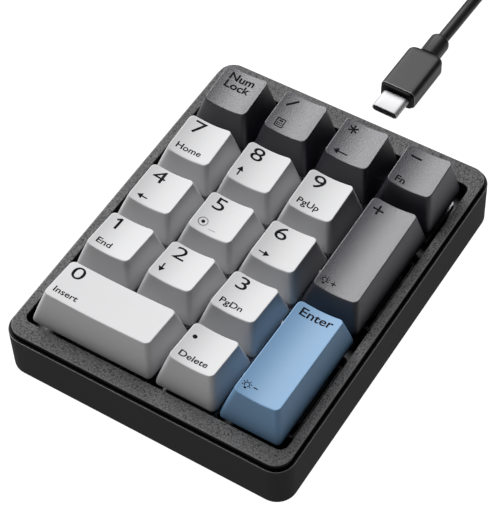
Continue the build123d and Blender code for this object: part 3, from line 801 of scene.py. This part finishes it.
class KeycapSet:
    """The seventeen keycaps."""

    sharp: float = 40.0
    sunk: float = 0.3  # how far a post goes into the roof

    def __init__(self, shape: CapShape) -> None:
        """Keeps the sizes."""
        self.shape = shape

    def build(self, key: Key) -> bpy.types.Object:
        """Makes one keycap: inside, rim, side, rounded edge and crown as one grid, and its posts."""
        side = self.shape.outside(key)
        rows = np.concatenate([self.shape.inside(key), side[:-1], self.shape.top(key, side)])
        place = (*key.middle, SKIRT_Z)
        shell = Shell().grid(placed(rows, place))
        for x, y in key.posts:
            roof = float(self.shape.plane(key, np.array(y))) - self.shape.roof + self.sunk
            shell.grid(placed(self.shape.post(roof)[::-1], (place[0] + x, place[1] + y, SKIRT_Z)), flip=True)
        slot, finish = key.colour.value
        name = "cap_" + key.name
        mesh = shell.mesh(name, self.sharp)
        return piece(name, mesh, "key_" + key.name, [finish.material()], ("keycap_" + key.name,))


# ---- Legends ---------------------------------------------------------------------------------------


def stroke(start: Pair, end: Pair, width: float, steps: int = 8) -> Array:
    """A flat bar from start to end, as a grid two points wide."""
    a, b = np.array(start, float), np.array(end, float)
    along = (b - a) / np.linalg.norm(b - a)
    side = np.array([along[1], -along[0]]) * width / 2
    share = np.linspace(0, 1, steps + 1)[:, None]
    line = a + (b - a) * share
    return np.stack([line - side, line + side], axis=1)


def band(middle: Pair, radius: float, width: float, first: float = 0.0, last: float = 360.0) -> Array:
    """A flat arc of a ring between two angles in degrees, as a grid two points wide."""
    angle = np.radians(np.linspace(first, last, 37))
    wheel = np.stack([np.cos(angle), np.sin(angle)], -1)
    centre = np.array(middle, float)
    inner, outer = centre + wheel * max(radius - width / 2, 0.0), centre + wheel * (radius + width / 2)
    return np.stack([inner, outer], axis=1)


def turned(grid: Array, mark: Mark) -> Array:
    """A flat grid turned by the mark's angle and moved to its place."""
    c, s = math.cos(math.radians(mark.turn)), math.sin(math.radians(mark.turn))
    return grid @ np.array([[c, s], [-s, c]]) + np.array([mark.x, mark.y])


def spokes(count: int, length: float, width: float, first: float = 90.0) -> list[Array]:
    """Bars through the middle, evenly turned."""
    angles = [math.radians(first + 180.0 * k / count) for k in range(count)]
    ends = [(math.cos(a) * length / 2, math.sin(a) * length / 2) for a in angles]
    return [stroke((-x, -y), (x, y), width) for x, y in ends]


def arrow_grids(mark: Mark) -> list[Array]:
    """A thin shaft with a solid head, pointing right."""
    half, head, wing = mark.size / 2, 1.5, 0.92
    tip = np.array([[[half - head, wing], [half - head, -wing]], [[half, 0.0], [half, 0.0]]])
    return [stroke((-half, 0), (half - head, 0), mark.stroke), tip]


def bulb_grids(mark: Mark) -> list[Array]:
    """A small lamp: a round bulb, its cap, and rays."""
    r, w = mark.size * 0.27, mark.stroke
    near, far = 1.45 * r, 2.0 * r  # where the rays start and end
    rays = [math.radians(a) for a in (-20, 25, 65, 115, 155, 200)]
    ways = [(math.cos(a), math.sin(a)) for a in rays]
    shine = [stroke((near * x, near * y), (far * x, far * y), w) for x, y in ways]
    caps = [stroke((-0.5 * r, -d * r), (0.5 * r, -d * r), w) for d in (1.35, 1.75)]
    return [band((0, 0), r, w, -60, 240), *caps, *shine]


def panel_grids(mark: Mark) -> list[Array]:
    """A small desk calculator: an outline, a window and six buttons."""
    h, w = mark.size / 2, mark.stroke
    v = h * 1.15
    outline = [stroke(*ends, w) for ends in (
        ((-h, -v), (h, -v)), ((h, -v), (h, v)), ((h, v), (-h, v)), ((-h, v), (-h, -v)))]
    window = [stroke((-0.5 * h, 0.5 * v), (0.5 * h, 0.5 * v), w * 1.6)]
    buttons = [band((bx * h, by * v), w * 0.35, w * 0.7) for bx in (-0.5, 0.0, 0.5) for by in (-0.1, -0.55)]
    return outline + window + buttons


def sign_grids(mark: Mark) -> list[Array]:
    """The flat grids of a sign about its own middle."""
    half = mark.size / 2
    if mark.sign is Sign.SLASH:
        return [stroke((-half * 0.9, -half), (half * 0.9, half), mark.stroke)]
    if mark.sign is Sign.STAR:
        return spokes(3, mark.size, mark.stroke)
    if mark.sign is Sign.DASH:
        return [stroke((-half, 0), (half, 0), mark.stroke)]
    if mark.sign is Sign.CROSS:
        return spokes(2, mark.size, mark.stroke)
    if mark.sign is Sign.DOT:
        return [band((0, 0), half / 2, half)]
    if mark.sign is Sign.RING:
        return [band((0, 0), half, mark.stroke), band((0, 0), half * 0.2, half * 0.4)]
    if mark.sign is Sign.ONE:
        foot, flag = (0.3, half - 0.25), (-0.8, half - 1.05)
        return [stroke((0.3, -half), (0.3, half), mark.stroke), stroke(flag, foot, mark.stroke * 0.8)]
    if mark.sign is Sign.ARROW:
        return arrow_grids(mark)
    if mark.sign is Sign.PANEL:
        return panel_grids(mark)
    return bulb_grids(mark)


class LegendSet:
    """The legends, each a thin skin laid on its keycap's crown."""

    lift: float = 0.02
    depth: float = 0.05
    slice: float = 0.6  # letters are cut into strips so that they follow the dish

    def __init__(self, shape: CapShape) -> None:
        """Measures the height of a capital in the plain face."""
        self.shape = shape
        points, _ = self.letters("H")
        self.capital = float(np.ptp(points[:, 1]))

    def letters(self, text: str, bold: float = 0.0, cuts: float = 0.0) -> tuple[Array, Array]:
        """A text's flat triangles.

        Args:
            text: The words.
            bold: How much the letters' outlines grow.
            cuts: Distance between upright cuts, or 0 for none.

        Returns:
            Points and triangles.
        """
        curve = bpy.data.curves.new("letters", "FONT")
        curve.body = text
        curve.resolution_u = 5
        curve.offset = bold
        holder = linked("letters", curve)
        held = holder.evaluated_get(bpy.context.evaluated_depsgraph_get())
        mesh = bpy.data.meshes.new_from_object(held)
        work = bmesh.new()
        work.from_mesh(mesh)
        span = max((v.co.x for v in work.verts), default=0.0)
        for k in range(1, int(span / cuts) + 1 if cuts else 0):
            every = work.verts[:] + work.edges[:] + work.faces[:]
            bmesh.ops.bisect_plane(work, geom=every, plane_co=(k * cuts, 0, 0), plane_no=(1, 0, 0))
        bmesh.ops.remove_doubles(work, verts=work.verts, dist=1e-5)
        bmesh.ops.triangulate(work, faces=work.faces)
        work.to_mesh(mesh)
        work.free()
        points = np.zeros(len(mesh.vertices) * 3, np.float32)
        mesh.vertices.foreach_get("co", points)
        corners = np.zeros(len(mesh.loops), np.int32)
        mesh.loops.foreach_get("vertex_index", corners)
        bpy.data.objects.remove(holder)
        bpy.data.curves.remove(curve)
        bpy.data.meshes.remove(mesh)
        return points.reshape(-1, 3).astype(float), corners.reshape(-1, 3)

    def draped(self, key: Key, plan: Array) -> Array:
        """Plan points laid on the key's crown, a little above it."""
        height = self.shape.crown(key, plan[..., 0], plan[..., 1]) + self.lift
        points = np.concatenate([plan, height[..., None]], axis=-1)
        return placed(points, (*key.middle, SKIRT_Z))

    def build(self, key: Key) -> bpy.types.Object:
        """Makes all of one key's legends as one piece with a little thickness."""
        shell = Shell()
        for mark in key.marks:
            if mark.sign is Sign.TEXT:
                scale = mark.size / self.capital
                points, faces = self.letters(mark.text, mark.bold, self.slice / (scale * mark.widen))
                plan = points[:, :2] * np.array([scale * mark.widen, scale]) + np.array([mark.x, mark.y])
                shell.add(self.draped(key, plan), faces)
                continue
            for grid in sign_grids(mark):
                shell.grid(self.draped(key, turned(grid, mark)), around=False)
        name = "legend_" + key.name
        made = piece(name, shell.mesh(name), "key_" + key.name, [LEGEND_BLACK.material()])
        skin = made.modifiers.new("skin", "SOLIDIFY")
        skin.thickness, skin.offset = self.depth * MM, -1.0
        return made


# ---- Case ------------------------------------------------------------------------------------------


@dataclass(frozen=True)
class CaseShape:
    """Sizes of the top cover and the tray under it."""

    cover_half: Pair = (41.85, 54.225)
    case_half: Pair = (42.85, 55.225)
    cover_corner: float = 4.6
    case_corner: float = 5.6
    opening_half: Pair = (39.3, 48.475)
    opening_y: float = -0.875
    opening_corner: float = 2.2
    seat: float = 15.0
    lip_top: float = 15.55
    lip_wall: float = 0.7
    wall: float = 1.8
    play: float = 0.2  # between the cover's skirt and the tray's wall
    underside: float = 1.0
    floor: float = 2.4
    skirt_foot: float = 11.2
    plate_foot: float = 9.4
    port_half: Pair = (4.85, 1.95)
    port_corner: float = 1.9
    port_z: float = 7.5
    port_cut: Pair = (50.0, 60.0)  # from inside the back wall to outside it
    foot_inset: float = 9.5
    bosses: tuple[Pair, ...] = (
        (-19.05, 27.325), (19.05, 27.325), (-19.05, -10.775), (19.05, -10.775), (0.0, -29.825))


class Case:
    """The top cover, the tray and the feet."""

    def __init__(self, shape: CaseShape) -> None:
        """Keeps the sizes."""
        self.shape = shape

    def cover(self) -> bpy.types.Object:
        """The frame round the keys: a closed band from its outer side over the top, down the opening and
        back under to its skirt. The side and the skirt have painted shade, a near-black colour for the
        shadow in the groove, and the rounded outer edge has a painted highlight in a lighter, smoother
        finish.
        """
        s = self.shape
        edge, inner, hold = 0.2, 0.2, 0.1
        curve = quarter((0, COVER_TOP - edge), (0, COVER_TOP), (edge, COVER_TOP), 4)
        outer = np.concatenate([
            [(0, s.seat), (0, COVER_TOP - edge - hold)], curve, [(edge + hold, COVER_TOP)]])
        mouth = quarter((-inner, COVER_TOP), (0, COVER_TOP), (0, COVER_TOP - inner), 3)
        down = np.concatenate([
            [(-inner - hold, COVER_TOP)], mouth, [(0, COVER_TOP - inner - hold), (0, s.skirt_foot)]])
        inset = s.wall + s.play
        skirt = [half - inset for half in s.case_half]
        under = np.array([(0, s.skirt_foot), (0, s.seat)])
        rows = np.concatenate([
            carried(outer, *s.cover_half, s.cover_corner),
            carried(down, *s.opening_half, s.opening_corner) + np.array([0, s.opening_y, 0]),
            carried(under, *skirt, s.case_corner - inset)])
        first, turn, last = 2, 1 + len(curve), len(outer) + len(mouth)
        # Marks: 1 is painted shade on the side and the skirt, 2 a painted highlight on the rounded outer
        # edge.
        shell = Shell().grid(rows[: first + 1], mark=1).grid(rows[first : turn + 1], mark=2)
        shell.grid(rows[turn : last + 1])
        shell.grid(np.concatenate([rows[last:], rows[:1]]), mark=1)
        mats = [COVER.material(), PAINTED_GROOVE_SHADE.material(), PAINTED_EDGE_HIGHLIGHT.material()]
        return piece("cover_frame", shell.mesh("cover_frame"), "case", mats, ("top_cover",))

    def tray(self) -> bpy.types.Object:
        """The tray: one closed grid from under the floor, up the outside, over the lip and down inside to
        the floor again, with turned screw bosses and the port's opening cut through the back wall. The
        lip's outer edge has a painted highlight in a lighter finish, and the ledge behind it painted shade
        in the near-black groove colour.
        """
        s = self.shape
        bend, edge, hold = 0.8, 0.16, 0.12
        foot = quarter((bend, s.underside), (0, s.underside), (0, s.underside + bend), 4)
        foot = np.concatenate([foot, [(0, s.underside + bend + hold), (0, s.lip_top - edge - hold)]])
        lip = quarter((0, s.lip_top - edge), (0, s.lip_top), (edge, s.lip_top), 3)
        start = np.array([(6.0, s.underside)])
        inside = np.array([
            (s.lip_wall, s.lip_top), (s.lip_wall, s.seat), (s.wall, s.seat), (s.wall, s.floor)])
        rows = carried(np.concatenate([start, foot, lip, inside]), *s.case_half, s.case_corner)
        middle = np.zeros_like(rows[:1])
        rows = np.concatenate([middle + [0, 0, s.underside], rows, middle + [0, 0, s.floor]])
        turn = len(foot) + len(lip) + 1
        bare = turn - len(lip) + 1
        # Mark 2 is a painted highlight on the lip's rounded edge, and mark 1 painted shade on the lip's top
        # and ledge.
        shell = Shell().grid(rows[: bare + 1]).grid(rows[bare : turn + 1], mark=2)
        shell.grid(rows[turn : turn + 3], mark=1).grid(rows[turn + 2 :])
        foot_z, bore_z, outer, bore = 2.2, 3.0, 1.7, 0.95
        boss = lathe(np.array([
            (0, foot_z), (outer, foot_z), (outer, s.plate_foot),
            (bore, s.plate_foot), (bore, bore_z), (0, bore_z)]))
        for x, y in s.bosses:
            shell.grid(placed(boss, (x, y, 0)))
        mats = [CASE_BLACK.material(), PAINTED_GROOVE_SHADE.material(), PAINTED_EDGE_HIGHLIGHT.material()]
        made = piece("case_tray", shell.mesh("case_tray"), "case", mats, ("bottom_case",))
        ring = rounded_ring(*s.port_half, s.port_corner, 4, 8)
        hole = np.stack([upright(ring, y, s.port_z) for y in s.port_cut])
        cut(made, Shell().grid(closed(hole), flip=True).mesh("port_cutter"))
        return made

    def feet(self) -> bpy.types.Object:
        """Four round feet, each turned, with a soft edge and a shallow ring in its face."""
        x, y = (half - self.shape.foot_inset for half in self.shape.case_half)
        profile = np.array([
            (0, 0.12), (2.6, 0.12), (2.8, 0.0), (4.1, 0.0), (4.4, 0.12), (4.5, 0.4), (4.5, 1.02), (0, 1.02)])
        shell = Shell()
        for sx, sy in ((-1, -1), (1, -1), (-1, 1), (1, 1)):
            shell.grid(placed(lathe(profile, 40), (sx * x, sy * y, 0)))
        mats = [FOOT_RUBBER.material()]
        return piece("foot_pads", shell.mesh("foot_pads"), "case", mats, ("rubber_feet",))


# ---- Inner parts -----------------------------------------------------------------------------------


@dataclass(frozen=True)
class SpringShape:
    """A switch's coil spring, with heights from the plate's top."""

    radius: float = 2.02
    wire: float = 0.16
    low: float = -3.6
    high: float = 5.0
    turns: float = 9.0
    flat: float = 0.9  # turns at each end that don't rise
    points_a_turn: int = 18

    def line(self) -> Array:
        """The wire's middle line: a helix whose rise starts and ends flat, as ground ends do."""
        share = np.linspace(0, 1, int(self.turns * self.points_a_turn) + 1)
        angle = share * self.turns * 2 * math.pi
        rise = np.clip((share * self.turns - self.flat) / (self.turns - 2 * self.flat), 0, 1)
        height = self.low + (self.high - self.low) * rise
        return np.stack([self.radius * np.cos(angle), self.radius * np.sin(angle), height], -1)


class InnerParts:
    """Springs drawn as real coils, and finishes for the CAD parts that stay."""

    kept: dict[str, Finish] = {
        "switch_plate": PLATE,
        "circuit_board": BOARD,
        "upper_housings": CLEAR,
        "lower_housings": MILKY,
        "switch_contacts": COPPER,
        "switch_sockets": BLACK_PLASTIC,
        "key_lights": LIGHT_LENS,
        "board_chips": BLACK_PLASTIC,
        "stabiliser_guides": GUIDE,
        "plate_screws": STEEL,
        "port_shell": STEEL,
        "port_tongue": BLACK_PLASTIC,
        "stabiliser_wire_plus": STEEL,
        "stabiliser_wire_enter": STEEL,
        "stabiliser_wire_0": STEEL,
    }

    def dress(self) -> None:
        """Gives each CAD node that stays its finish."""
        finishes = dict(self.kept)
        finishes.update({"stem_" + key.name: STEM_BROWN for key in KEYS})
        for name, finish in finishes.items():
            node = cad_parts[name]
            if not node.material_slots:
                node.data.materials.append(finish.material())
            for place in node.material_slots:
                place.material = finish.material()
            LOG.info("%s: CAD part, finish %s", name, finish.name)

    def springs(self, shape: SpringShape) -> None:
        """Makes one spring under each key."""
        rings = tube_along(shape.line(), shape.wire, 6)
        for key in KEYS:
            x, y = key.middle
            shell = Shell().grid(placed(rings, (x, y, PLATE_TOP)))
            name = "spring_" + key.name
            mats = [SPRING_STEEL.material()]
            made = piece(name, shell.mesh(name), "case", mats, ("switch_springs",))
            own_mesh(made)


# ---- Cable -----------------------------------------------------------------------------------------


@dataclass(frozen=True)
class CableShape:
    """Sizes of the cable and its two plugs, and the route's points."""

    thick: float = 3.6
    length: float = 1500.0
    tip: Point = (0.4, 70.3, 3.2)
    turn: float = -1.2
    nose_half: Pair = (4.17, 1.25)
    nose_long: float = 6.65
    grip_half: Pair = (5.6, 3.2)
    grip_long: float = 18.1
    relief_half: Pair = (3.3, 2.95)
    relief_long: float = 8.2
    coil_middle: Pair = (-16.0, 157.0)
    coil_turns: float = 9.62
    points_a_turn: int = 14
    far_middle: Point = (26.0, 163.0, 4.0)
    far_long: float = 28.0
    lead: tuple[Point, ...] = (
        (1.1, 103.2, 3.2), (1.2, 111.0, 2.7), (1.15, 121.5, 1.8), (1.7, 133.5, 1.8), (8.2, 146.0, 1.8),
        (10.2, 157.5, 1.8))
    tail: tuple[Point, ...] = (
        (-18.0, 132.9, 12.9), (-8.8, 132.6, 12.3), (0.0, 132.3, 9.5), (8.4, 132.7, 6.2), (16.5, 136.0, 4.2),
        (22.6, 142.2, 3.5), (25.9, 150.4, 3.7), (26.0, 158.6, 4.0))

    def coil(self) -> Array:
        """Points of the coil's turns.

        Angle grows evenly. Radius and height are read from tables against the turn number: each ring
        is a full turn, and the cord moves over to the next ring in the last eighth of a turn, and climbs
        to the next layer in the eighth before that. Control points stand out by one part in cosine, so
        that the smooth line through their runs has the ring's own radius.
        """
        turn = np.arange(1, int(self.coil_turns * self.points_a_turn) + 1) / self.points_a_turn
        shifts = ((26.0, 22.3), (22.3, 18.6), (18.6, 18.6), (18.6, 22.3), (22.3, 26.0), (26.0, 24.15),
                  (24.15, 20.45), (20.45, 20.45), (20.45, 24.15))
        knots = [(0.0, 26.0)] + [
            (k + at, radius) for k, pair in enumerate(shifts) for at, radius in zip((0.875, 1.0), pair)]
        knots.append((10.0, 24.15))
        radius = np.interp(turn, *np.array(knots).T)
        climbs = [(0.0, 1.8), (2.75, 1.8), (2.875, 5.5), (5.75, 5.5),
                  (5.875, 9.2), (7.75, 9.2), (7.875, 12.9), (10.0, 12.9)]
        height = np.interp(turn, *np.array(climbs).T)
        angle = turn * 2 * math.pi
        outward = radius / math.cos(math.pi / self.points_a_turn)
        x, y = self.coil_middle
        return np.stack([x + outward * np.cos(angle), y + outward * np.sin(angle), height], -1)


class Cable:
    """The cord with its USB-C plug, its coil and its other plug."""

    def __init__(self, shape: CableShape) -> None:
        """Keeps the sizes."""
        self.shape = shape

    def nose(self) -> bpy.types.Object:
        """The plug's steel nose: an oval tube with a rolled mouth, dark inside."""
        s = self.shape
        w, h = s.nose_half
        wall, roll, shade, depth = 0.32, 0.12, 1.2, 5.6
        iw, ih = w - wall, h - wall
        outer = [(s.nose_long + 0.5, w, h, h), (roll, w, h, h), (0.03, w - 0.05, h - 0.05, h),
                 (0.0, w - roll, h - roll, h)]
        inner = [(0.0, iw + 0.06, ih + 0.06, h), (0.08, iw, ih, h), (shade, iw, ih, h)]
        steel, deep = sections(outer + inner), sections([(shade, iw, ih, h), (depth, iw, ih, h)])
        shell = Shell().grid(placed(np.concatenate([drawn_in(steel[0]), steel]), s.tip, s.turn))
        shell.grid(placed(np.concatenate([deep, drawn_in(deep[-1])]), s.tip, s.turn), mark=1)
        mats = [PLUG_STEEL.material(), BLACK_PLASTIC.material()]
        return piece("plug_nose", shell.mesh("plug_nose"), "cable", mats, ("plug_shell",))

    def grip(self) -> bpy.types.Object:
        """The moulded grip: a collar set in round the nose, painted near black as shade in its recess, the
        long body with a painted highlight on its front rim and a flat top, a rounded back and the plain
        sleeve that the cord leaves.
        """
        s = self.shape
        w, h = s.grip_half
        r, low = 1.5, s.nose_long
        high = low + s.grip_long
        end = high + s.relief_long
        rw, rh, rr = s.relief_half[0] - 0.3, s.relief_half[1], 2.5
        step, back_round, end_round = low + 0.9, 1.9, 1.2
        neck = (step + 0.1, w - 0.3, h - 0.28, r)
        collar = [(low, w - 0.9, h - 0.75, r), (low + 0.12, w - 0.45, h - 0.4, r),
                  (low + 0.5, *neck[1:]), neck]
        edge = [neck, (step, w - 0.16, h - 0.14, r), (step + 0.08, w - 0.04, h - 0.03, r),
                (step + 0.25, w, h, r)]
        body = [edge[-1], (step + 0.5, w, h, r), (high - back_round - 0.3, w, h, r)]
        bent = [(math.sin(a), 1 - math.cos(a)) for a in np.linspace(0, math.pi / 2, 7)]
        back = [(high - back_round * (1 - y), w - back_round * x, h - 0.8 * x, r) for y, x in bent]
        sleeve = [(high, rw + 0.12, rh + 0.02, rr), (high + 0.15, rw, rh - 0.02, rr),
                  (end - end_round - 0.3, rw, rh, rr)]
        stop = [(end - end_round * (1 - y), rw - end_round * x, rh - 0.7 * x, rr) for y, x in bent]
        dark, skin = sections(collar), sections(body + back + sleeve + stop)
        shell = Shell()
        # Mark 1 is painted shade on the recessed collar, and mark 2 a painted highlight on the front rim.
        shell.grid(placed(np.concatenate([drawn_in(dark[0]), dark]), s.tip, s.turn), mark=1, flip=True)
        shell.grid(placed(sections(edge), s.tip, s.turn), mark=2, flip=True)
        shell.grid(placed(np.concatenate([skin, drawn_in(skin[-1])]), s.tip, s.turn), flip=True)
        mesh = shell.mesh("plug_moulding")
        mats = [JACKET.material(), PAINTED_GROOVE_SHADE.material(), PAINTED_EDGE_HIGHLIGHT.material()]
        return piece("plug_moulding", mesh, "cable", mats, ("plug_grip",))

    def far_grip(self) -> bpy.types.Object:
        """The other plug's grip: a rounded block with a waist, and a tapered sleeve."""
        x, y, z = self.shape.far_middle
        w, h = 7.8, 4.0
        relief = [(-7.0, 2.3, 2.3, 2.3), (-6.8, 2.55, 2.55, 2.5), (-0.6, 2.9, 2.9, 2.8), (0.0, 3.4, 3.1, 2.8)]
        body = [(0.0, w - 1.5, h - 1.0, 1.6), (0.35, w - 0.7, h - 0.4, 1.8), (1.1, w - 0.15, h - 0.05, 1.8),
                (2.0, w, h, 1.8), (9.0, w, h, 1.8), (11.0, w - 0.35, h - 0.2, 1.8),
                (19.0, w - 0.35, h - 0.2, 1.8), (21.0, w, h, 1.8), (27.0, w, h, 1.8),
                (27.7, w - 0.15, h - 0.1, 1.7), (self.shape.far_long, w - 0.5, h - 0.45, 1.5)]
        rings = placed(closed(sections(relief + body)), (x, y, z))
        mesh = Shell().grid(rings, flip=True).mesh("far_moulding")
        return piece("far_moulding", mesh, "cable", [JACKET.material()], ("far_plug_grip",))

    def far_shell(self) -> bpy.types.Object:
        """The other plug's steel nose: an open box with a tongue, gold contacts and two spring windows."""
        x, y, z = self.shape.far_middle
        y = y + self.shape.far_long
        w, h, wall = 6.0, 2.25, 0.3
        rows = [(-0.5, w, h, 0.45), (18.6, w, h, 0.45), (18.7, w - 0.1, h - 0.1, 0.4),
                (18.7, w - wall + 0.05, h - wall + 0.05, 0.3), (18.6, w - wall, h - wall, 0.3),
                (1.0, w - wall, h - wall, 0.3)]
        shell = Shell().grid(placed(closed(sections(rows)), (x, y, z)), flip=True)
        tongue = [(1.0, w - wall - 0.1, 0.9, 0.2), (17.4, w - wall - 0.1, 0.9, 0.2),
                  (17.6, w - wall - 0.3, 0.7, 0.2)]
        shell.grid(placed(closed(sections(tongue)), (x, y, z - 0.95)), mark=1, flip=True)
        for k in range(4):
            leaf = sections([(7.0, 0.5, 0.06, 0.03), (17.2, 0.5, 0.06, 0.03)], 2, 2)
            shell.grid(placed(closed(leaf), (x - 3.75 + 2.5 * k, y, z - 0.03)), mark=2, flip=True)
        mats = [PLUG_STEEL.material(), BLACK_PLASTIC.material(), GOLD.material()]
        made = piece("far_nose", shell.mesh("far_nose"), "cable", mats, ("far_plug_shell",))
        windows = Shell()
        for side in (-1, 1):
            box = sections([(11.5, 1.15, 1.2, 0.05), (14.0, 1.15, 1.2, 0.05)], 2, 2)
            windows.grid(placed(closed(box), (x + side * 3.0, y, z + 2.4)), flip=True)
        cut(made, windows.mesh("window_cutter"))
        return made

    def cord(self, with_pieces: list[bpy.types.Object]) -> bpy.types.Object:
        """The cord: one smooth line from the plug through the coil to the other plug.

        Args:
            with_pieces: The plugs' pieces; not used.

        Returns:
            The curve.
        """
        s = self.shape
        points = np.concatenate([np.array(s.lead), s.coil(), np.array(s.tail)]) * MM
        curve = bpy.data.curves.new("usb_cord", "CURVE")
        curve.dimensions = "3D"
        line = curve.splines.new("NURBS")
        line.points.add(len(points) - 1)
        line.points.foreach_set("co", np.column_stack([points, np.ones(len(points))]).ravel())
        line.order_u = 3
        line.use_endpoint_u = True
        line.resolution_u = 4
        curve.bevel_depth = s.thick / 2 * MM
        curve.bevel_resolution = 5
        curve.use_fill_caps = True
        curve.materials.append(JACKET.material())
        made = linked("usb_cord", curve)
        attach(made, "cable")
        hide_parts("cord_lead", "cord_coil", "cord_tail")
        LOG.info("usb_cord: %d route points, rides on cable", len(points))
        return made

    def build(self) -> None:
        """Makes both plugs and the cord."""
        self.cord([self.nose(), self.grip(), self.far_grip(), self.far_shell()])


# ---- Studio ----------------------------------------------------------------------------------------


@dataclass(frozen=True)
class Softbox:
    """A square soft light: the way to it from the object, its distance, side and power."""

    name: str
    way: Point
    distance: float
    side: float
    power: float
    colour: Colour = (1.0, 1.0, 1.0)


@dataclass(frozen=True)
class Studio:
    """The camera, the lights and the floor."""

    camera_place: Point = (0.17905, -0.26554, 0.43472)
    right: Point = (0.84545, 0.53252, -0.04044)
    up: Point = (-0.39585, 0.67569, 0.62189)
    back: Point = (0.35849, -0.50977, 0.78206)
    lens: float = 141.88
    sensor: float = 36.0
    shift: Pair = (0.0359, -0.0775)
    lights: tuple[Softbox, ...] = (
        Softbox("key_light", (-0.50, 0.48, 0.72), 1.3, 0.95, 34.0),
        Softbox("front_fill", (-0.30, -0.92, 0.30), 1.2, 0.9, 2.0),
    )
    world: float = 0.01

    def camera(self) -> bpy.types.Object:
        """The camera: its axes are its matrix's columns."""
        data = bpy.data.cameras.new("camera")
        data.lens, data.sensor_width = self.lens, self.sensor
        data.shift_x, data.shift_y = self.shift
        data.clip_start, data.clip_end = 0.01, 20.0
        made = linked("camera", data)
        axes = np.column_stack([self.right, self.up, self.back])
        matrix = np.eye(4)
        matrix[:3, :3], matrix[:3, 3] = axes, self.camera_place
        made.matrix_world = Matrix(matrix.tolist())
        bpy.context.scene.camera = made
        return made

    def light(self, box: Softbox) -> bpy.types.Object:
        """A softbox that faces the object."""
        data = bpy.data.lights.new(box.name, "AREA")
        data.shape, data.size = "SQUARE", box.side
        data.energy, data.color = box.power, box.colour
        made = linked(box.name, data)
        way = np.array(box.way) / np.linalg.norm(box.way)
        side = np.cross([0.0, 0.0, 1.0], way)
        side /= np.linalg.norm(side)
        matrix = np.eye(4)
        matrix[:3, :3] = np.column_stack([side, np.cross(way, side), way])
        matrix[:3, 3] = way * box.distance
        made.matrix_world = Matrix(matrix.tolist())
        return made

    def floor(self) -> bpy.types.Object:
        """A wide pale floor."""
        half = 2500.0
        plan = np.array([[(-half, -half), (half, -half)], [(-half, half), (half, half)]])
        rows = np.concatenate([plan, np.zeros((2, 2, 1))], axis=2)
        made = linked("floor", Shell().grid(rows, around=False).mesh("floor"))
        made.data.materials.append(FLOOR_PAPER.material())
        return made

    def build(self) -> None:
        """Makes the floor, the lights and the world's glow."""
        self.floor()
        for box in self.lights:
            self.light(box)
        world = bpy.data.worlds.new("studio")
        world.use_nodes = True
        world.node_tree.nodes["Background"].inputs["Strength"].default_value = self.world
        world.node_tree.nodes["Background"].inputs["Color"].default_value = (1.0, 1.0, 1.0, 1.0)
        bpy.context.scene.world = world
        bpy.context.scene.view_settings.view_transform = "Standard"


def main() -> None:
    """Builds the keypad, the cable and the studio."""
    logging.basicConfig(level=logging.INFO, format="%(name)s: %(message)s")
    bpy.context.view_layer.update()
    studio = Studio()
    studio.camera()
    Cable(CableShape()).build()
    cap_shape = CapShape()
    caps, legends = KeycapSet(cap_shape), LegendSet(cap_shape)
    for key in KEYS:
        caps.build(key)
        legends.build(key)
    case = Case(CaseShape())
    case.cover()
    case.tray()
    case.feet()
    inner = InnerParts()
    inner.dress()
    inner.springs(SpringShape())
    studio.build()


if __name__ == "__main__":
    main()
